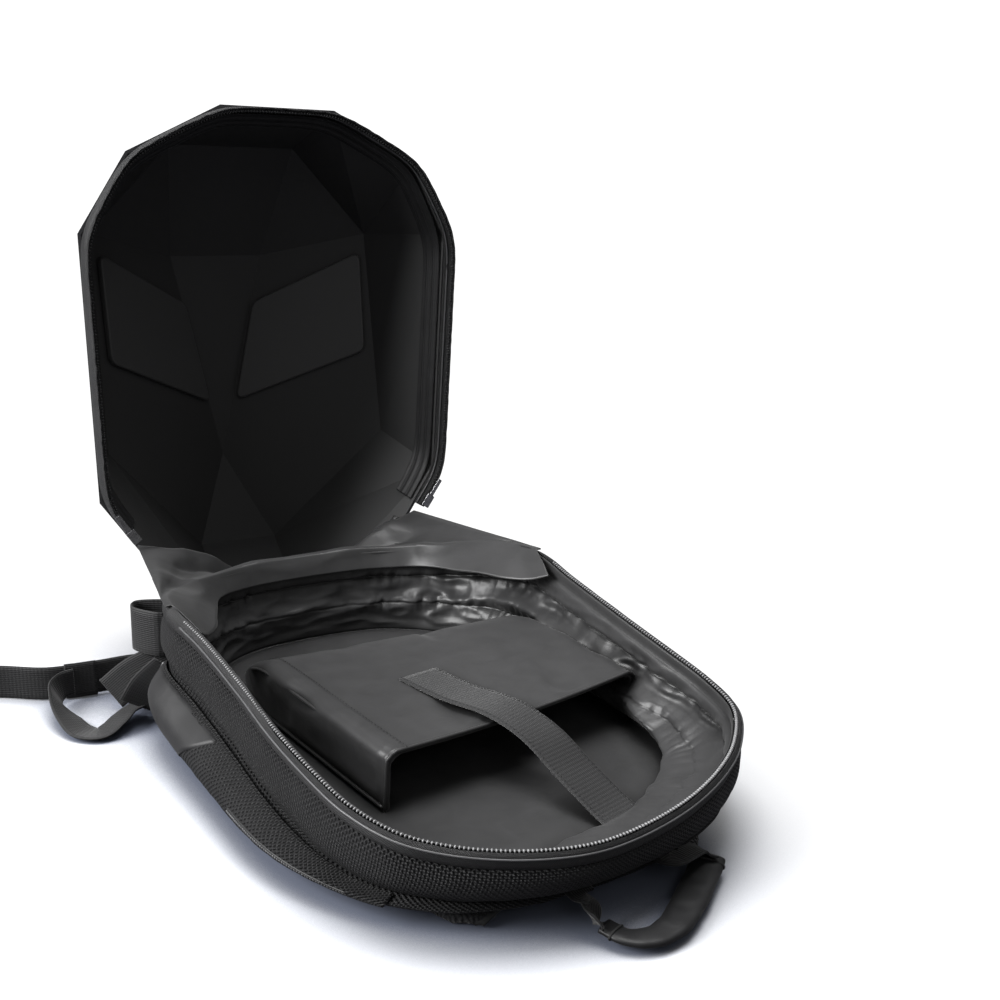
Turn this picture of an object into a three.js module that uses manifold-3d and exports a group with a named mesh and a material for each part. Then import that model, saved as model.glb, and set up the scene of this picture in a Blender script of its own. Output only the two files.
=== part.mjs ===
// A hard-front backpack lying open on its back: a soft base with its pockets and straps, and a faceted
// lid with two LED screens, standing up behind the base on its lower edge and joined to it by a folded gusset.
// Millimetres. +X to the wearer's left, +Y from the carry handle to the hinge, +Z up from the floor.
// The origin is on the underside of the back pad, on which the base rests.

import * as THREE from "three";
import { mergeVertices } from "three/addons/utils/BufferGeometryUtils.js";
import Module from "manifold-3d";

const wasm = await Module();
wasm.setup();

// Driving dimensions of the whole bag
const bagLength = 450; // along the zip line, from the hinge to the carry handle
const bagHalfWidth = 170;
const clearance = 0.3; // between two pieces that touch

// Base: outer fabric, lining, floor and rim
const rimHeightFront = 60; // zip line above the floor at the carry handle
const rimHeightZipEnd = 108; // zip line above the floor where the zip ends
const rimHeightHinge = 88; // top edge above the floor at the hinge
const padThickness = 9.7; // back pad and shoulder straps, under the base
const fabricThickness = 3;
const liningThickness = 2;
const floorThickness = 5;
const tapeHeight = 10;
const tapeThickness = 1.5;
const upperBandHeight = 36; // side wall from the tape down to the crease
const bulge = 6; // how far the side wall's bands swell

// Zip
const chainWidth = 3;
const chainHeight = 2.4;

// Lid
const lidLength = 450;
const lidHalfWidth = 164;
const lidDepth = 160; // from the rim to the nose ridge
const shellThickness = 2.5;
const lidSetback = 281; // lid's rim plane, behind the middle of the base
const lidTapeWidth = 12;
const screenThickness = 1.6;
const screenRecess = 0.6;
const screenCornerRadius = 6;
const housingThickness = 6;
const housingMargin = 2;

// Laptop sleeve and its strap
const sleeveHeight = 42;
const sleeveWall = 3.5;
const retentionWidth = 36;

// Webbing, handle and slider
const webbingWidth = 28;
const webbingThickness = 1.6;
const gripWidth = 20;
const gripThickness = 11;
const shoulderStrapWidth = 62;
const sliderLength = 12;
const pullerLength = 20;

const fabric = new THREE.MeshStandardMaterial({ name: "ballistic_fabric", color: 0x141416, roughness: 0.85 });
const satin = new THREE.MeshStandardMaterial({ name: "satin_lining", color: 0x1b1b1d, roughness: 0.45 });
const webbing = new THREE.MeshStandardMaterial({ name: "webbing", color: 0x18181a, roughness: 0.8 });
const padMesh = new THREE.MeshStandardMaterial({ name: "pad_mesh", color: 0x161618, roughness: 0.9 });
const shellPlastic = new THREE.MeshStandardMaterial({ name: "shell_plastic", color: 0x2b2b2d, roughness: 0.4 });
const screenGlass = new THREE.MeshStandardMaterial({ name: "screen_glass", color: 0x020202, roughness: 0.08 });
const coil = new THREE.MeshStandardMaterial({ name: "zip_coil", color: 0x202022, roughness: 0.5 });
const metal = new THREE.MeshStandardMaterial({ name: "slider_metal", color: 0x2a2a2c, roughness: 0.3, metalness: 1 });
const smoothWrap = new THREE.MeshStandardMaterial({ name: "smooth_wrap", color: 0x1a1a1c, roughness: 0.5 });

const point = (x, y, z) => new THREE.Vector3(x, y, z);
const lerp = (a, b, t) => a + (b - a) * t;

// Mesh building

function closedGeometry(points, triangles) {
  const flat = new Float32Array(points.length * 3);
  points.forEach((p, i) => p.toArray(flat, i * 3));
  let geometry = new THREE.BufferGeometry();
  geometry.setAttribute("position", new THREE.BufferAttribute(flat, 3));
  geometry.setIndex(triangles.flat());
  geometry = mergeVertices(geometry, 1e-4);
  if (signedVolume(geometry) < 0) flipFaces(geometry);
  return geometry;
}

function signedVolume(geometry) {
  const position = geometry.getAttribute("position");
  const index = geometry.getIndex();
  const corner = [point(0, 0, 0), point(0, 0, 0), point(0, 0, 0)];
  let volume = 0;
  for (let i = 0; i < index.count; i += 3) {
    corner.forEach((c, k) => c.fromBufferAttribute(position, index.getX(i + k)));
    volume += corner[0].dot(corner[1].clone().cross(corner[2])) / 6;
  }
  return volume;
}

function flipFaces(geometry) {
  const index = geometry.getIndex();
  for (let i = 0; i < index.count; i += 3) {
    const kept = index.getX(i);
    index.setX(i, index.getX(i + 1));
    index.setX(i + 1, kept);
  }
}

// A solid through closed rings of equal count. Its two ends are joined to each other, or capped: from the
// middle of a rounded section, or straight across from one face of a thin one to the other.
function solidThroughRings(rings, ends = "middle") {
  const count = rings[0].length;
  const points = rings.flat();
  const triangles = [];
  const last = ends === "joined" ? rings.length : rings.length - 1;
  for (let i = 0; i < last; i += 1) {
    for (let j = 0; j < count; j += 1) {
      const a = i * count + j;
      const b = i * count + ((j + 1) % count);
      const c = ((i + 1) % rings.length) * count + ((j + 1) % count);
      const d = ((i + 1) % rings.length) * count + j;
      const split = points[a].distanceTo(points[c]) <= points[b].distanceTo(points[d]);
      triangles.push(...(split ? [[a, b, c], [a, c, d]] : [[a, b, d], [b, c, d]]));
    }
  }
  const capped = ends === "joined" ? [] : [0, rings.length - 1];
  capped.forEach((i) => {
    const cap = [];
    if (ends === "middle") {
      points.push(rings[i].reduce((sum, p) => sum.add(p), point(0, 0, 0)).divideScalar(count));
      for (let j = 0; j < count; j += 1) cap.push([i * count + ((j + 1) % count), i * count + j, points.length - 1]);
    } else {
      for (let j = 0; j < count / 2 - 1; j += 1) {
        const [a, b] = [i * count + j, i * count + j + 1];
        const [c, d] = [i * count + count - 2 - j, i * count + count - 1 - j];
        cap.push([b, a, c], [c, a, d]);
      }
    }
    triangles.push(...(i === 0 ? cap : cap.map((t) => t.reverse())));
  });
  return closedGeometry(points, triangles);
}

// A thick sheet: the section across it at each step is a loop from one face to the other.
function solidSheet(face, back) {
  return solidThroughRings(
    face.map((row, i) => [...row, ...[...back[i]].reverse()]),
    "across",
  );
}

function meshFrom(name, geometry, material) {
  geometry.computeVertexNormals();
  const mesh = new THREE.Mesh(geometry, material);
  mesh.name = name;
  return mesh;
}

function solidOf(geometry) {
  const bare = geometry.clone();
  bare.deleteAttribute("normal");
  bare.deleteAttribute("uv");
  const merged = mergeVertices(bare, 1e-4);
  const mesh = new wasm.Mesh({
    numProp: 3,
    vertProperties: new Float32Array(merged.getAttribute("position").array),
    triVerts: new Uint32Array(merged.getIndex().array),
  });
  return new wasm.Manifold(mesh);
}

function geometryOf(solid) {
  const mesh = solid.getMesh();
  const geometry = new THREE.BufferGeometry();
  geometry.setAttribute("position", new THREE.BufferAttribute(new Float32Array(mesh.vertProperties), 3));
  geometry.setIndex(Array.from(mesh.triVerts));
  return geometry;
}

// The same solid on the other side of the bag's middle plane, x = 0.
function mirrored(geometry) {
  const copy = geometry.clone().scale(-1, 1, 1);
  if (!copy.getIndex()) return mirrored(mergeVertices(copy));
  flipFaces(copy);
  return copy;
}

// Outline of the base

// One row for each stretch of the outline, from the hinge end to the handle end. rim_* is the zip line and
// foot_* the edge of the flat underside; along is a share of bagLength and the sides of bagHalfWidth.
const outlineRows = [
  { rimAlong: 0.0, rimLeft: 0.29, rimRight: 0.29, footAlong: 0.025, footLeft: 0.27, footRight: 0.27 },
  { rimAlong: 0.03, rimLeft: 0.53, rimRight: 0.53, footAlong: 0.058, footLeft: 0.48, footRight: 0.48 },
  { rimAlong: 0.093, rimLeft: 0.74, rimRight: 0.74, footAlong: 0.116, footLeft: 0.66, footRight: 0.66 },
  { rimAlong: 0.178, rimLeft: 0.895, rimRight: 0.88, footAlong: 0.196, footLeft: 0.82, footRight: 0.81 },
  { rimAlong: 0.267, rimLeft: 0.96, rimRight: 0.925, footAlong: 0.278, footLeft: 0.94, footRight: 0.9 },
  { rimAlong: 0.378, rimLeft: 0.925, rimRight: 0.925, footAlong: 0.378, footLeft: 0.965, footRight: 0.92 },
  { rimAlong: 0.52, rimLeft: 0.905, rimRight: 0.925, footAlong: 0.507, footLeft: 0.955, footRight: 0.93 },
  { rimAlong: 0.636, rimLeft: 0.9, rimRight: 0.93, footAlong: 0.611, footLeft: 0.935, footRight: 0.93 },
  { rimAlong: 0.742, rimLeft: 0.875, rimRight: 0.93, footAlong: 0.7, footLeft: 0.89, footRight: 0.91 },
  { rimAlong: 0.82, rimLeft: 0.838, rimRight: 0.885, footAlong: 0.767, footLeft: 0.83, footRight: 0.86 },
  { rimAlong: 0.891, rimLeft: 0.752, rimRight: 0.72, footAlong: 0.832, footLeft: 0.745, footRight: 0.745 },
  { rimAlong: 0.938, rimLeft: 0.62, rimRight: 0.53, footAlong: 0.877, footLeft: 0.63, footRight: 0.58 },
  { rimAlong: 0.978, rimLeft: 0.42, rimRight: 0.27, footAlong: 0.905, footLeft: 0.47, footRight: 0.34 },
  { rimAlong: 1.0, rimLeft: 0.2, rimRight: -0.02, footAlong: 0.915, footLeft: 0.25, footRight: 0.06 },
];
const spanSteps = 2; // ring points for each row
const rowCount = outlineRows.length;
const ringCount = rowCount * 2 * spanSteps;
const zipEndRow = 4; // the zip starts and ends at this row, on each side
const zipEndStep = zipEndRow * spanSteps;
const zipSteps = ringCount - spanSteps - 2 * zipEndStep; // ring steps along the zip

const alongToY = (along) => bagLength * (0.5 - along);

function rimHeightAt(along) {
  const zipEndAlong = outlineRows[zipEndRow].rimAlong;
  if (along >= zipEndAlong) return lerp(rimHeightZipEnd, rimHeightFront, (along - zipEndAlong) / (1 - zipEndAlong));
  const share = along / zipEndAlong;
  return lerp(rimHeightHinge, rimHeightZipEnd, share * share * (3 - 2 * share));
}

function outlineCurve(alongKey, leftKey, rightKey, heightAt) {
  const left = outlineRows.map((r) => point(-r[leftKey] * bagHalfWidth, alongToY(r[alongKey]), heightAt(r[alongKey])));
  const right = outlineRows.map((r) => point(r[rightKey] * bagHalfWidth, alongToY(r[alongKey]), heightAt(r[alongKey])));
  return new THREE.CatmullRomCurve3([...left, ...right.reverse()], true, "centripetal");
}

const tubBottom = padThickness + clearance;
const rimCurve = outlineCurve("rimAlong", "rimLeft", "rimRight", rimHeightAt);
const footCurve = outlineCurve("footAlong", "footLeft", "footRight", () => tubBottom);
const ringPoints = (curve) => Array.from({ length: ringCount }, (_, k) => curve.getPoint(k / ringCount));
const rimRing = ringPoints(rimCurve);
const footRing = ringPoints(footCurve);
const wrap = (k) => (k + ringCount) % ringCount;

// Level direction that points out of the bag at each ring point.
const outward = rimRing.map((_, k) => {
  const run = rimRing[wrap(k + 1)].clone().sub(rimRing[wrap(k - 1)]).setZ(0).normalize();
  return point(run.y, -run.x, 0);
});

// The side wall's section, from the tape (0) by way of the crease (0.5) to the underside (1).
const wallProfile = [
  { down: 0.0, out: 0.0 },
  { down: 0.14, out: 0.45 },
  { down: 0.3, out: 0.6 },
  { down: 0.44, out: 0.1 },
  { down: 0.5, out: -0.3 },
  { down: 0.58, out: 0.3 },
  { down: 0.72, out: 1.0 },
  { down: 0.86, out: 0.8 },
  { down: 0.95, out: -0.1 },
  { down: 1.0, out: -1.4 },
];

function profileOut(down) {
  const after = wallProfile.findIndex((row) => row.down >= down);
  if (after <= 0) return wallProfile[0].out;
  const [a, b] = [wallProfile[after - 1], wallProfile[after]];
  return lerp(a.out, b.out, (down - a.down) / (b.down - a.down));
}

const wallTop = (k) => rimRing[k].z - tapeHeight - clearance;
const upperBand = (k) => Math.min(upperBandHeight, (wallTop(k) - tubBottom) * 0.72);

// A point of the side wall at a height, moved out of the bag by offset.
function wallAtHeight(k, z, offset) {
  const [drop, height, band] = [wallTop(k) - z, wallTop(k) - tubBottom, upperBand(k)];
  const down = drop < band ? (0.5 * drop) / band : 0.5 + (0.5 * (drop - band)) / (height - band);
  const place = rimRing[k].clone().lerp(footRing[k], (drop / height) ** 2).setZ(z);
  return place.addScaledVector(outward[k], profileOut(down) * bulge + offset);
}

function wallPoint(step, down, offset) {
  const k = wrap(step);
  const [height, band] = [wallTop(k) - tubBottom, upperBand(k)];
  const drop = down < 0.5 ? band * down * 2 : lerp(band, height, down * 2 - 1);
  return wallAtHeight(k, wallTop(k) - drop, offset);
}

const wallRing = (down, offset) => rimRing.map((_, k) => wallPoint(k, down, offset));

// Base pieces

// Rings of an inner face, from the wall's top down to the well's floor: it leans in at the foot to a soft
// corner. depth is from the outer face, and only the last ring is raised.
const wellFloor = tubBottom + floorThickness;
const insideRows = [
  { share: 0, lean: 0 },
  { share: 0.25, lean: 0 },
  { share: 0.5, lean: 0.25 },
  { share: 0.7, lean: 0.8 },
  { share: 0.86, lean: 2 },
  { share: 1, lean: 5 },
];

const insideRings = (depth, raise) =>
  insideRows.map(({ share, lean }) =>
    rimRing.map((_, k) => {
      const p = wallAtHeight(k, lerp(wallTop(k), wellFloor, share), -depth - lean);
      return share === 1 ? p.setZ(wellFloor + raise) : p;
    }),
  );

function outerFabric() {
  const outside = [...wallProfile].reverse().map((row) => wallRing(row.down, 0));
  return solidThroughRings([...outside, ...insideRings(fabricThickness, 0)]);
}

function liningShell() {
  const outer = fabricThickness + clearance;
  const outside = insideRings(outer, clearance).reverse();
  return solidThroughRings([...outside, ...insideRings(outer + liningThickness, clearance + liningThickness)]);
}

function rimBand() {
  const edge = (offset, drop) => rimRing.map((p, k) => p.clone().addScaledVector(outward[k], offset).setZ(p.z - drop));
  const loops = [edge(0, 0), edge(-tapeThickness, 0), edge(-tapeThickness, tapeHeight), edge(0, tapeHeight)];
  return solidThroughRings(loops, "joined");
}

// The zip's coil stands on the inner edge of the tape, from one zip end round the handle end to the other.
function baseChain() {
  const offset = tapeThickness + clearance;
  const sections = Array.from({ length: zipSteps - 1 }, (_, i) => {
    const k = zipEndStep + 1 + i;
    const corner = (out, z) => rimRing[k].clone().addScaledVector(outward[k], -out).setZ(rimRing[k].z + z);
    return [
      corner(offset, 0),
      corner(offset + chainWidth, 0),
      corner(offset + chainWidth, -chainHeight),
      corner(offset, -chainHeight),
    ];
  });
  return solidThroughRings(sections);
}

// The zipped side pocket is a padded panel on the lower half of the side wall. step counts ring points.
const pocketRows = [
  { step: 0, top: 0.7, bottom: 0.84 },
  { step: 1, top: 0.6, bottom: 0.87 },
  { step: 3, top: 0.56, bottom: 0.88 },
  { step: 9, top: 0.56, bottom: 0.88 },
  { step: 11, top: 0.6, bottom: 0.87 },
  { step: 12, top: 0.7, bottom: 0.84 },
];
const pocketFirstStep = 8;
const pocketSwell = 4;
const pocketGap = 1;
// Heights at which the panel bends with the wall, where they are inside its own top and bottom.
const pocketStops = [0.58, 0.65, 0.72, 0.79, 0.86];

function sidePocket(side) {
  const last = pocketRows.at(-1).step;
  const rows = Array.from({ length: last + 1 }, (_, step) => {
    const after = Math.max(1, pocketRows.findIndex((row) => row.step >= step));
    const [a, b] = [pocketRows[after - 1], pocketRows[after]];
    const t = (step - a.step) / (b.step - a.step);
    const [top, bottom] = [lerp(a.top, b.top, t), lerp(a.bottom, b.bottom, t)];
    const k = side < 0 ? pocketFirstStep + step : ringCount - spanSteps - pocketFirstStep - step;
    const full = step === 0 || step === last ? 0.3 : 1;
    const inner = pocketStops.map((down, i) =>
      THREE.MathUtils.clamp(down, lerp(top, bottom, 0.1 + i * 0.1), lerp(top, bottom, 0.5 + i * 0.1)),
    );
    const downs = [top, ...inner, bottom];
    const swell = (down) => pocketSwell * full * Math.sin((Math.PI * (down - top)) / (bottom - top));
    return {
      front: downs.map((down) => wallPoint(k, down, pocketGap + 1 + swell(down))),
      back: downs.map((down) => wallPoint(k, down, pocketGap)),
    };
  });
  return solidSheet(
    rows.map((row) => row.front),
    rows.map((row) => row.back),
  );
}

// Back pad and shoulder straps, which lie flat under the base. along and across are shares of the bag.
const backPadRows = [
  { along: 0.2, half: 0.24 },
  { along: 0.24, half: 0.3 },
  { along: 0.5, half: 0.28 },
  { along: 0.76, half: 0.3 },
  { along: 0.8, half: 0.24 },
];
const shoulderRows = [
  { along: 0.925, middle: 0.44, width: 0.25 },
  { along: 0.9, middle: 0.45, width: 0.6 },
  { along: 0.8, middle: 0.5, width: 0.9 },
  { along: 0.6, middle: 0.6, width: 1.0 },
  { along: 0.4, middle: 0.68, width: 0.95 },
  { along: 0.26, middle: 0.72, width: 0.8 },
  { along: 0.2, middle: 0.73, width: 0.6 },
];
const padEdge = 3; // how far the top and bottom faces of a pad stop short of its sides

function flatPad(rows) {
  const sections = rows.map(({ along, low, high }, i) => {
    const y = alongToY(along);
    const edge = i === 0 || i === rows.length - 1 ? padEdge / 2 : 0;
    return [
      point(low, y, padThickness / 2),
      point(low + padEdge, y, edge),
      point(high - padEdge, y, edge),
      point(high, y, padThickness / 2),
      point(high - padEdge, y, padThickness - edge),
      point(low + padEdge, y, padThickness - edge),
    ];
  });
  return solidThroughRings(sections);
}

const backPad = () =>
  flatPad(backPadRows.map((r) => ({ along: r.along, low: -r.half * bagHalfWidth, high: r.half * bagHalfWidth })));

const shoulderStrap = (side) =>
  flatPad(
    shoulderRows.map((r) => {
      const middle = side * r.middle * bagHalfWidth;
      const half = (r.width * shoulderStrapWidth) / 2;
      return { along: r.along, low: middle - half, high: middle + half };
    }),
  );

// Laptop sleeve: a padded box without a floor, open towards the handle end. Its left side stands free.
const sleeveFloor = wellFloor + liningThickness + 2 * clearance;
const sleeveRows = [
  { left: -0.48, right: 0.86, y: -0.17, skew: 0.08, height: 1, sag: 0.02 },
  { left: -0.5, right: 0.86, y: -0.1, skew: 0.06, height: 1, sag: 0.06 },
  { left: -0.53, right: 0.85, y: 0.02, skew: 0.03, height: 1, sag: 0.14 },
  { left: -0.56, right: 0.85, y: 0.14, skew: 0, height: 1, sag: 0.16 },
  { left: -0.57, right: 0.8, y: 0.22, skew: 0, height: 0.92, sag: 0.1 },
  { left: -0.56, right: 0.74, y: 0.28, skew: 0, height: 0.6, sag: 0.02 },
  { left: -0.54, right: 0.68, y: 0.32, skew: 0, height: 0.2, sag: 0 },
];
const sleeveAcross = [0, 0.04, 0.15, 0.35, 0.6, 0.82, 0.95, 1];

// Its rear comes down to the floor. y and skew are shares of bagLength, height and sag of sleeveHeight.
function sleevePath({ left, right, y, skew, height, sag }, inset) {
  const low = left * bagHalfWidth + inset;
  const high = right * bagHalfWidth - inset;
  const yAt = (t) => (y + skew * t) * bagLength;
  const top = sleeveFloor + Math.max(sleeveHeight * height - inset, sleeveWall / 2);
  const crown = sleeveAcross.map((t) => {
    const dip = Math.sin(Math.PI * t) * sag * sleeveHeight;
    const soft = t === 0 || t === 1 ? sleeveHeight * 0.07 * height : 0;
    return point(lerp(low, high, t), yAt(t), top - dip - soft);
  });
  return [point(low, yAt(0), sleeveFloor), ...crown, point(high, yAt(1), sleeveFloor)];
}

const laptopSleeve = () =>
  solidSheet(
    sleeveRows.map((row) => sleevePath(row, 0)),
    sleeveRows.map((row) => sleevePath(row, sleeveWall)),
  );

// Webbing

// A flat band along a smooth path. tilt turns the band's width from level (0) to upright (90 degrees).
function ribbon(path, width, thickness, steps) {
  const curve = new THREE.CatmullRomCurve3(path.map((p) => point(p.x, p.y, p.z)), false, "centripetal");
  const sections = Array.from({ length: steps + 1 }, (_, i) => {
    const at = (i / steps) * (path.length - 1);
    const row = Math.min(Math.floor(at), path.length - 2);
    const tilt = THREE.MathUtils.degToRad(lerp(path[row].tilt, path[row + 1].tilt, at - row));
    const middle = curve.getPoint(i / steps);
    const run = curve.getTangent(i / steps);
    const level = run.clone().cross(point(0, 0, 1)).normalize();
    const rise = level.clone().cross(run).normalize();
    const across = level.clone().multiplyScalar(Math.cos(tilt)).addScaledVector(rise, Math.sin(tilt));
    const normal = across.clone().cross(run).normalize();
    const corner = (a, n) => middle.clone().addScaledVector(across, a).addScaledVector(normal, n);
    const [a, n] = [width / 2, thickness / 2];
    return [corner(-a, -n), corner(a, -n), corner(a, n), corner(-a, n)];
  });
  return solidThroughRings(sections);
}

// It lies on the lining ahead of the sleeve, climbs the sleeve's mouth and lies on its top.
const sleeveTop = sleeveFloor + sleeveHeight;
const retentionPath = [
  { x: 49, y: -156, z: sleeveFloor + 1.3, tilt: 0 },
  { x: 44, y: -140, z: sleeveFloor + 1.6, tilt: 0 },
  { x: 37, y: -114, z: sleeveTop - 18, tilt: 0 },
  { x: 29, y: -84, z: sleeveTop - 0.5, tilt: 0 },
  { x: 20, y: -57, z: sleeveTop + 0.7, tilt: 0 },
  { x: 8, y: -14, z: sleeveTop - 2.1, tilt: 0 },
  { x: 0, y: 30, z: sleeveTop - 3.8, tilt: 0 },
];

// The left side's webbing comes off the wall behind its widest place. x and y count from strapRoot.
const strapRoot = point(-0.91 * bagHalfWidth, alongToY(0.178), 0);
const handleRoot = point(0, alongToY(1), 0);

const placed = (root, rows) => rows.map((row) => ({ ...row, x: root.x + row.x, y: root.y + row.y }));
// A band starts square to the wall that it is sewn to: two rows, gap and 6 mm more off the wall's face at z.
// step may be between two ring points.
const fromWall = (step, z, tilt, gap) =>
  [gap, gap + 6].map((offset) => {
    const [a, b] = [Math.floor(step), Math.ceil(step)].map((k) => wallAtHeight(wrap(k), z, offset));
    return { ...a.lerp(b, step - Math.floor(step)), tilt };
  });

const strapTailPath = placed(strapRoot, [
  { x: -151, y: 117, z: 14.4, tilt: 90 },
  { x: -104, y: 97, z: 14.4, tilt: 90 },
  { x: -70, y: 77, z: 14.4, tilt: 90 },
  { x: -34, y: 72, z: 15.5, tilt: 90 },
  { x: -5, y: 68, z: 17, tilt: 90 },
]).concat(fromWall(3.6, 20, 90, 5.4).reverse());
const keeperPath = placed(strapRoot, [
  { x: -59, y: 72.5, z: 15.6, tilt: 90 },
  { x: -50, y: 71, z: 15.7, tilt: 90 },
  { x: -35, y: 69.5, z: 15.9, tilt: 90 },
]);
const floorLoopPath = placed(strapRoot, [
  { x: -53, y: 69.6, z: 15.6, tilt: 90 },
  { x: -63, y: 66, z: 15.4, tilt: 84 },
  { x: -70, y: 57, z: 14, tilt: 70 },
  { x: -71, y: 45, z: 12, tilt: 52 },
  { x: -69, y: 23, z: 8, tilt: 22 },
  { x: -63, y: 5, z: 3, tilt: 4 },
  { x: -52, y: -3, z: 2.6, tilt: 6 },
  { x: -41, y: 1, z: 6, tilt: 16 },
  { x: -29, y: 11, z: 9, tilt: 22 },
  { x: -14.2, y: 20.6, z: 9.5, tilt: 14 },
]);
const upperAnchorPath = [
  ...fromWall(5, 46, 0, 0.6),
  ...placed(strapRoot, [
    { x: -10, y: 31, z: 31, tilt: 10 },
    { x: -20, y: 39, z: 20, tilt: 8 },
    { x: -33, y: 47, z: 12, tilt: 4 },
  ]),
];
const lowerAnchorPath = [
  ...fromWall(6.4, 56, 8, 2.3),
  ...placed(strapRoot, [
    { x: -18, y: -4, z: 38, tilt: 40 },
    { x: -13, y: 7, z: 24, tilt: 30 },
    { x: -6, y: 18, z: 13, tilt: 12 },
  ]),
];
const sideLoopPath = [
  ...fromWall(5.7, 69, 90, 1.2),
  ...placed(strapRoot, [
    { x: -14.5, y: 30, z: 69, tilt: 90 },
    { x: -9, y: 40, z: 69, tilt: 90 },
  ]),
  ...fromWall(4.6, 69, 90, 1.2).reverse(),
];
const sideLoopWidth = 36;
const loopTailPath = [
  ...fromWall(3.2, 50, 0, 1.2),
  ...placed(strapRoot, [
    { x: 24, y: 61, z: 74, tilt: 0 },
    { x: 15, y: 65, z: 98, tilt: 0 },
  ]),
];

const handleTailLeft = [
  ...fromWall(26.5, 19, 0, 2.0),
  ...placed(handleRoot, [
    { x: -27, y: 1, z: 15, tilt: 12 },
    { x: -27, y: -4.8, z: 10.4, tilt: 20 },
  ]),
];
const handleTailRight = [
  ...fromWall(29.6, 22, 0, 6.7),
  ...placed(handleRoot, [{ x: 72.8, y: 15.5, z: 15.0, tilt: 0 }]),
];
const gripPath = placed(handleRoot, [
  { x: -26, y: -9, z: 8.5 },
  { x: -20, y: -19, z: 7 },
  { x: -5, y: -24, z: 6.4 },
  { x: 12, y: -22, z: 6.4 },
  { x: 32, y: -11, z: 6.6 },
  { x: 52, y: 1, z: 7.5 },
  { x: 69, y: 12, z: 9 },
]);
const gripSides = 10;

function carryGrip() {
  const curve = new THREE.CatmullRomCurve3(gripPath.map((p) => point(p.x, p.y, p.z)), false, "centripetal");
  const steps = 14;
  const sections = Array.from({ length: steps + 1 }, (_, i) => {
    const t = i / steps;
    const middle = curve.getPoint(t);
    const run = curve.getTangent(t);
    const level = run.clone().cross(point(0, 0, 1)).normalize();
    const rise = level.clone().cross(run).normalize();
    return Array.from({ length: gripSides }, (__, j) => {
      const angle = (j / gripSides) * 2 * Math.PI;
      return middle
        .clone()
        .addScaledVector(level, (Math.cos(angle) * gripWidth) / 2)
        .addScaledVector(rise, (Math.sin(angle) * gripThickness) / 2);
    });
  });
  return solidThroughRings(sections);
}

// Lid

// Corners of the shell, as shares of lidHalfWidth, lidLength and lidDepth. out grows away from the rim.
const shellCorners = {
  T: { across: 0.3, up: 1.0, out: 0 },
  G: { across: 0.768, up: 0.918, out: 0 },
  H: { across: 1.0, up: 0.782, out: 0.05 },
  J: { across: 0.976, up: 0.304, out: 0.05 },
  N: { across: 0.409, up: 0, out: 0 },
  A: { across: 0.354, up: 0.938, out: 0.688 },
  D: { across: 0.274, up: 0.718, out: 1.0 },
  E: { across: 0.805, up: 0.771, out: 0.675 },
  I: { across: 0.829, up: 0.36, out: null },
  K: { across: 0.238, up: 0.116, out: null },
  L: { across: 0, up: 0.294, out: 0.975 },
  M: { across: 0.22, up: 0, out: 0.256 },
};
// Flat facets, each seen from outside in counter-clockwise order; a minus names the mirrored corner.
const sideFacets = ["A D E", "A E G T", "E H G", "E I J H", "D L K I E", "I K M N J"];
const middleFacets = ["-A -D D A", "-T -A A T", "-D L D", "L -K K", "-K -M M K", "-M -N N M"];
const rimOrder = ["T", "G", "H", "J", "N", "-N", "-J", "-H", "-G", "-T"];
// LED screen corners on the cheek facet.
const screenCorners = [
  { across: 0.237, up: 0.617 },
  { across: 0.768, up: 0.724 },
  { across: 0.762, up: 0.53 },
  { across: 0.118, up: 0.418 },
];

const lidPoint = ({ across, up, out }) => point(across * lidHalfWidth, up * lidLength, out * lidDepth);
const swapSide = (name) => (name.startsWith("-") ? name.slice(1) : `-${name}`);

function outOnPlane(a, b, c, x, y) {
  const normal = b.clone().sub(a).cross(c.clone().sub(a));
  return a.z - (normal.x * (x - a.x) + normal.y * (y - a.y)) / normal.z;
}

// Cheek corners that are given without a depth lie on the plane of the brow, temple and nose corners.
function shellCornerPoints() {
  const corners = {};
  const [brow, temple, nose] = ["D", "E", "L"].map((k) => lidPoint(shellCorners[k]));
  Object.entries(shellCorners).forEach(([name, row]) => {
    const p = lidPoint({ ...row, out: row.out ?? 0 });
    if (row.out === null) p.z = outOnPlane(brow, temple, nose, p.x, p.y);
    corners[name] = p;
    corners[`-${name}`] = row.across === 0 ? p : point(-p.x, p.y, p.z);
  });
  return corners;
}

const corners = shellCornerPoints();
const facets = [
  ...middleFacets.map((f) => f.split(" ")),
  ...sideFacets.flatMap((f) => [f.split(" "), f.split(" ").reverse().map(swapSide)]),
].map((names) => names.map((n) => (n === "-L" ? "L" : n)));

function facetNormal(names) {
  const [a, b, c] = names.map((n) => corners[n]);
  return b.clone().sub(a).cross(c.clone().sub(a)).normalize();
}

// Where the planes of all facets round a corner meet once each is moved in by the wall: solved by repeated
// projection, with the height over the rim kept for rim corners.
function insideCorner(name, wall) {
  const start = corners[name];
  const walls = facets.filter((f) => f.includes(name)).map(facetNormal);
  const p = start.clone();
  const onRim = rimOrder.includes(name);
  for (let round = 0; round < 400; round += 1) {
    walls.forEach((normal) => {
      const miss = p.clone().sub(start).dot(normal) + wall;
      p.addScaledVector(normal, -miss * 0.8);
    });
    if (onRim) p.z = start.z;
  }
  return p;
}

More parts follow.
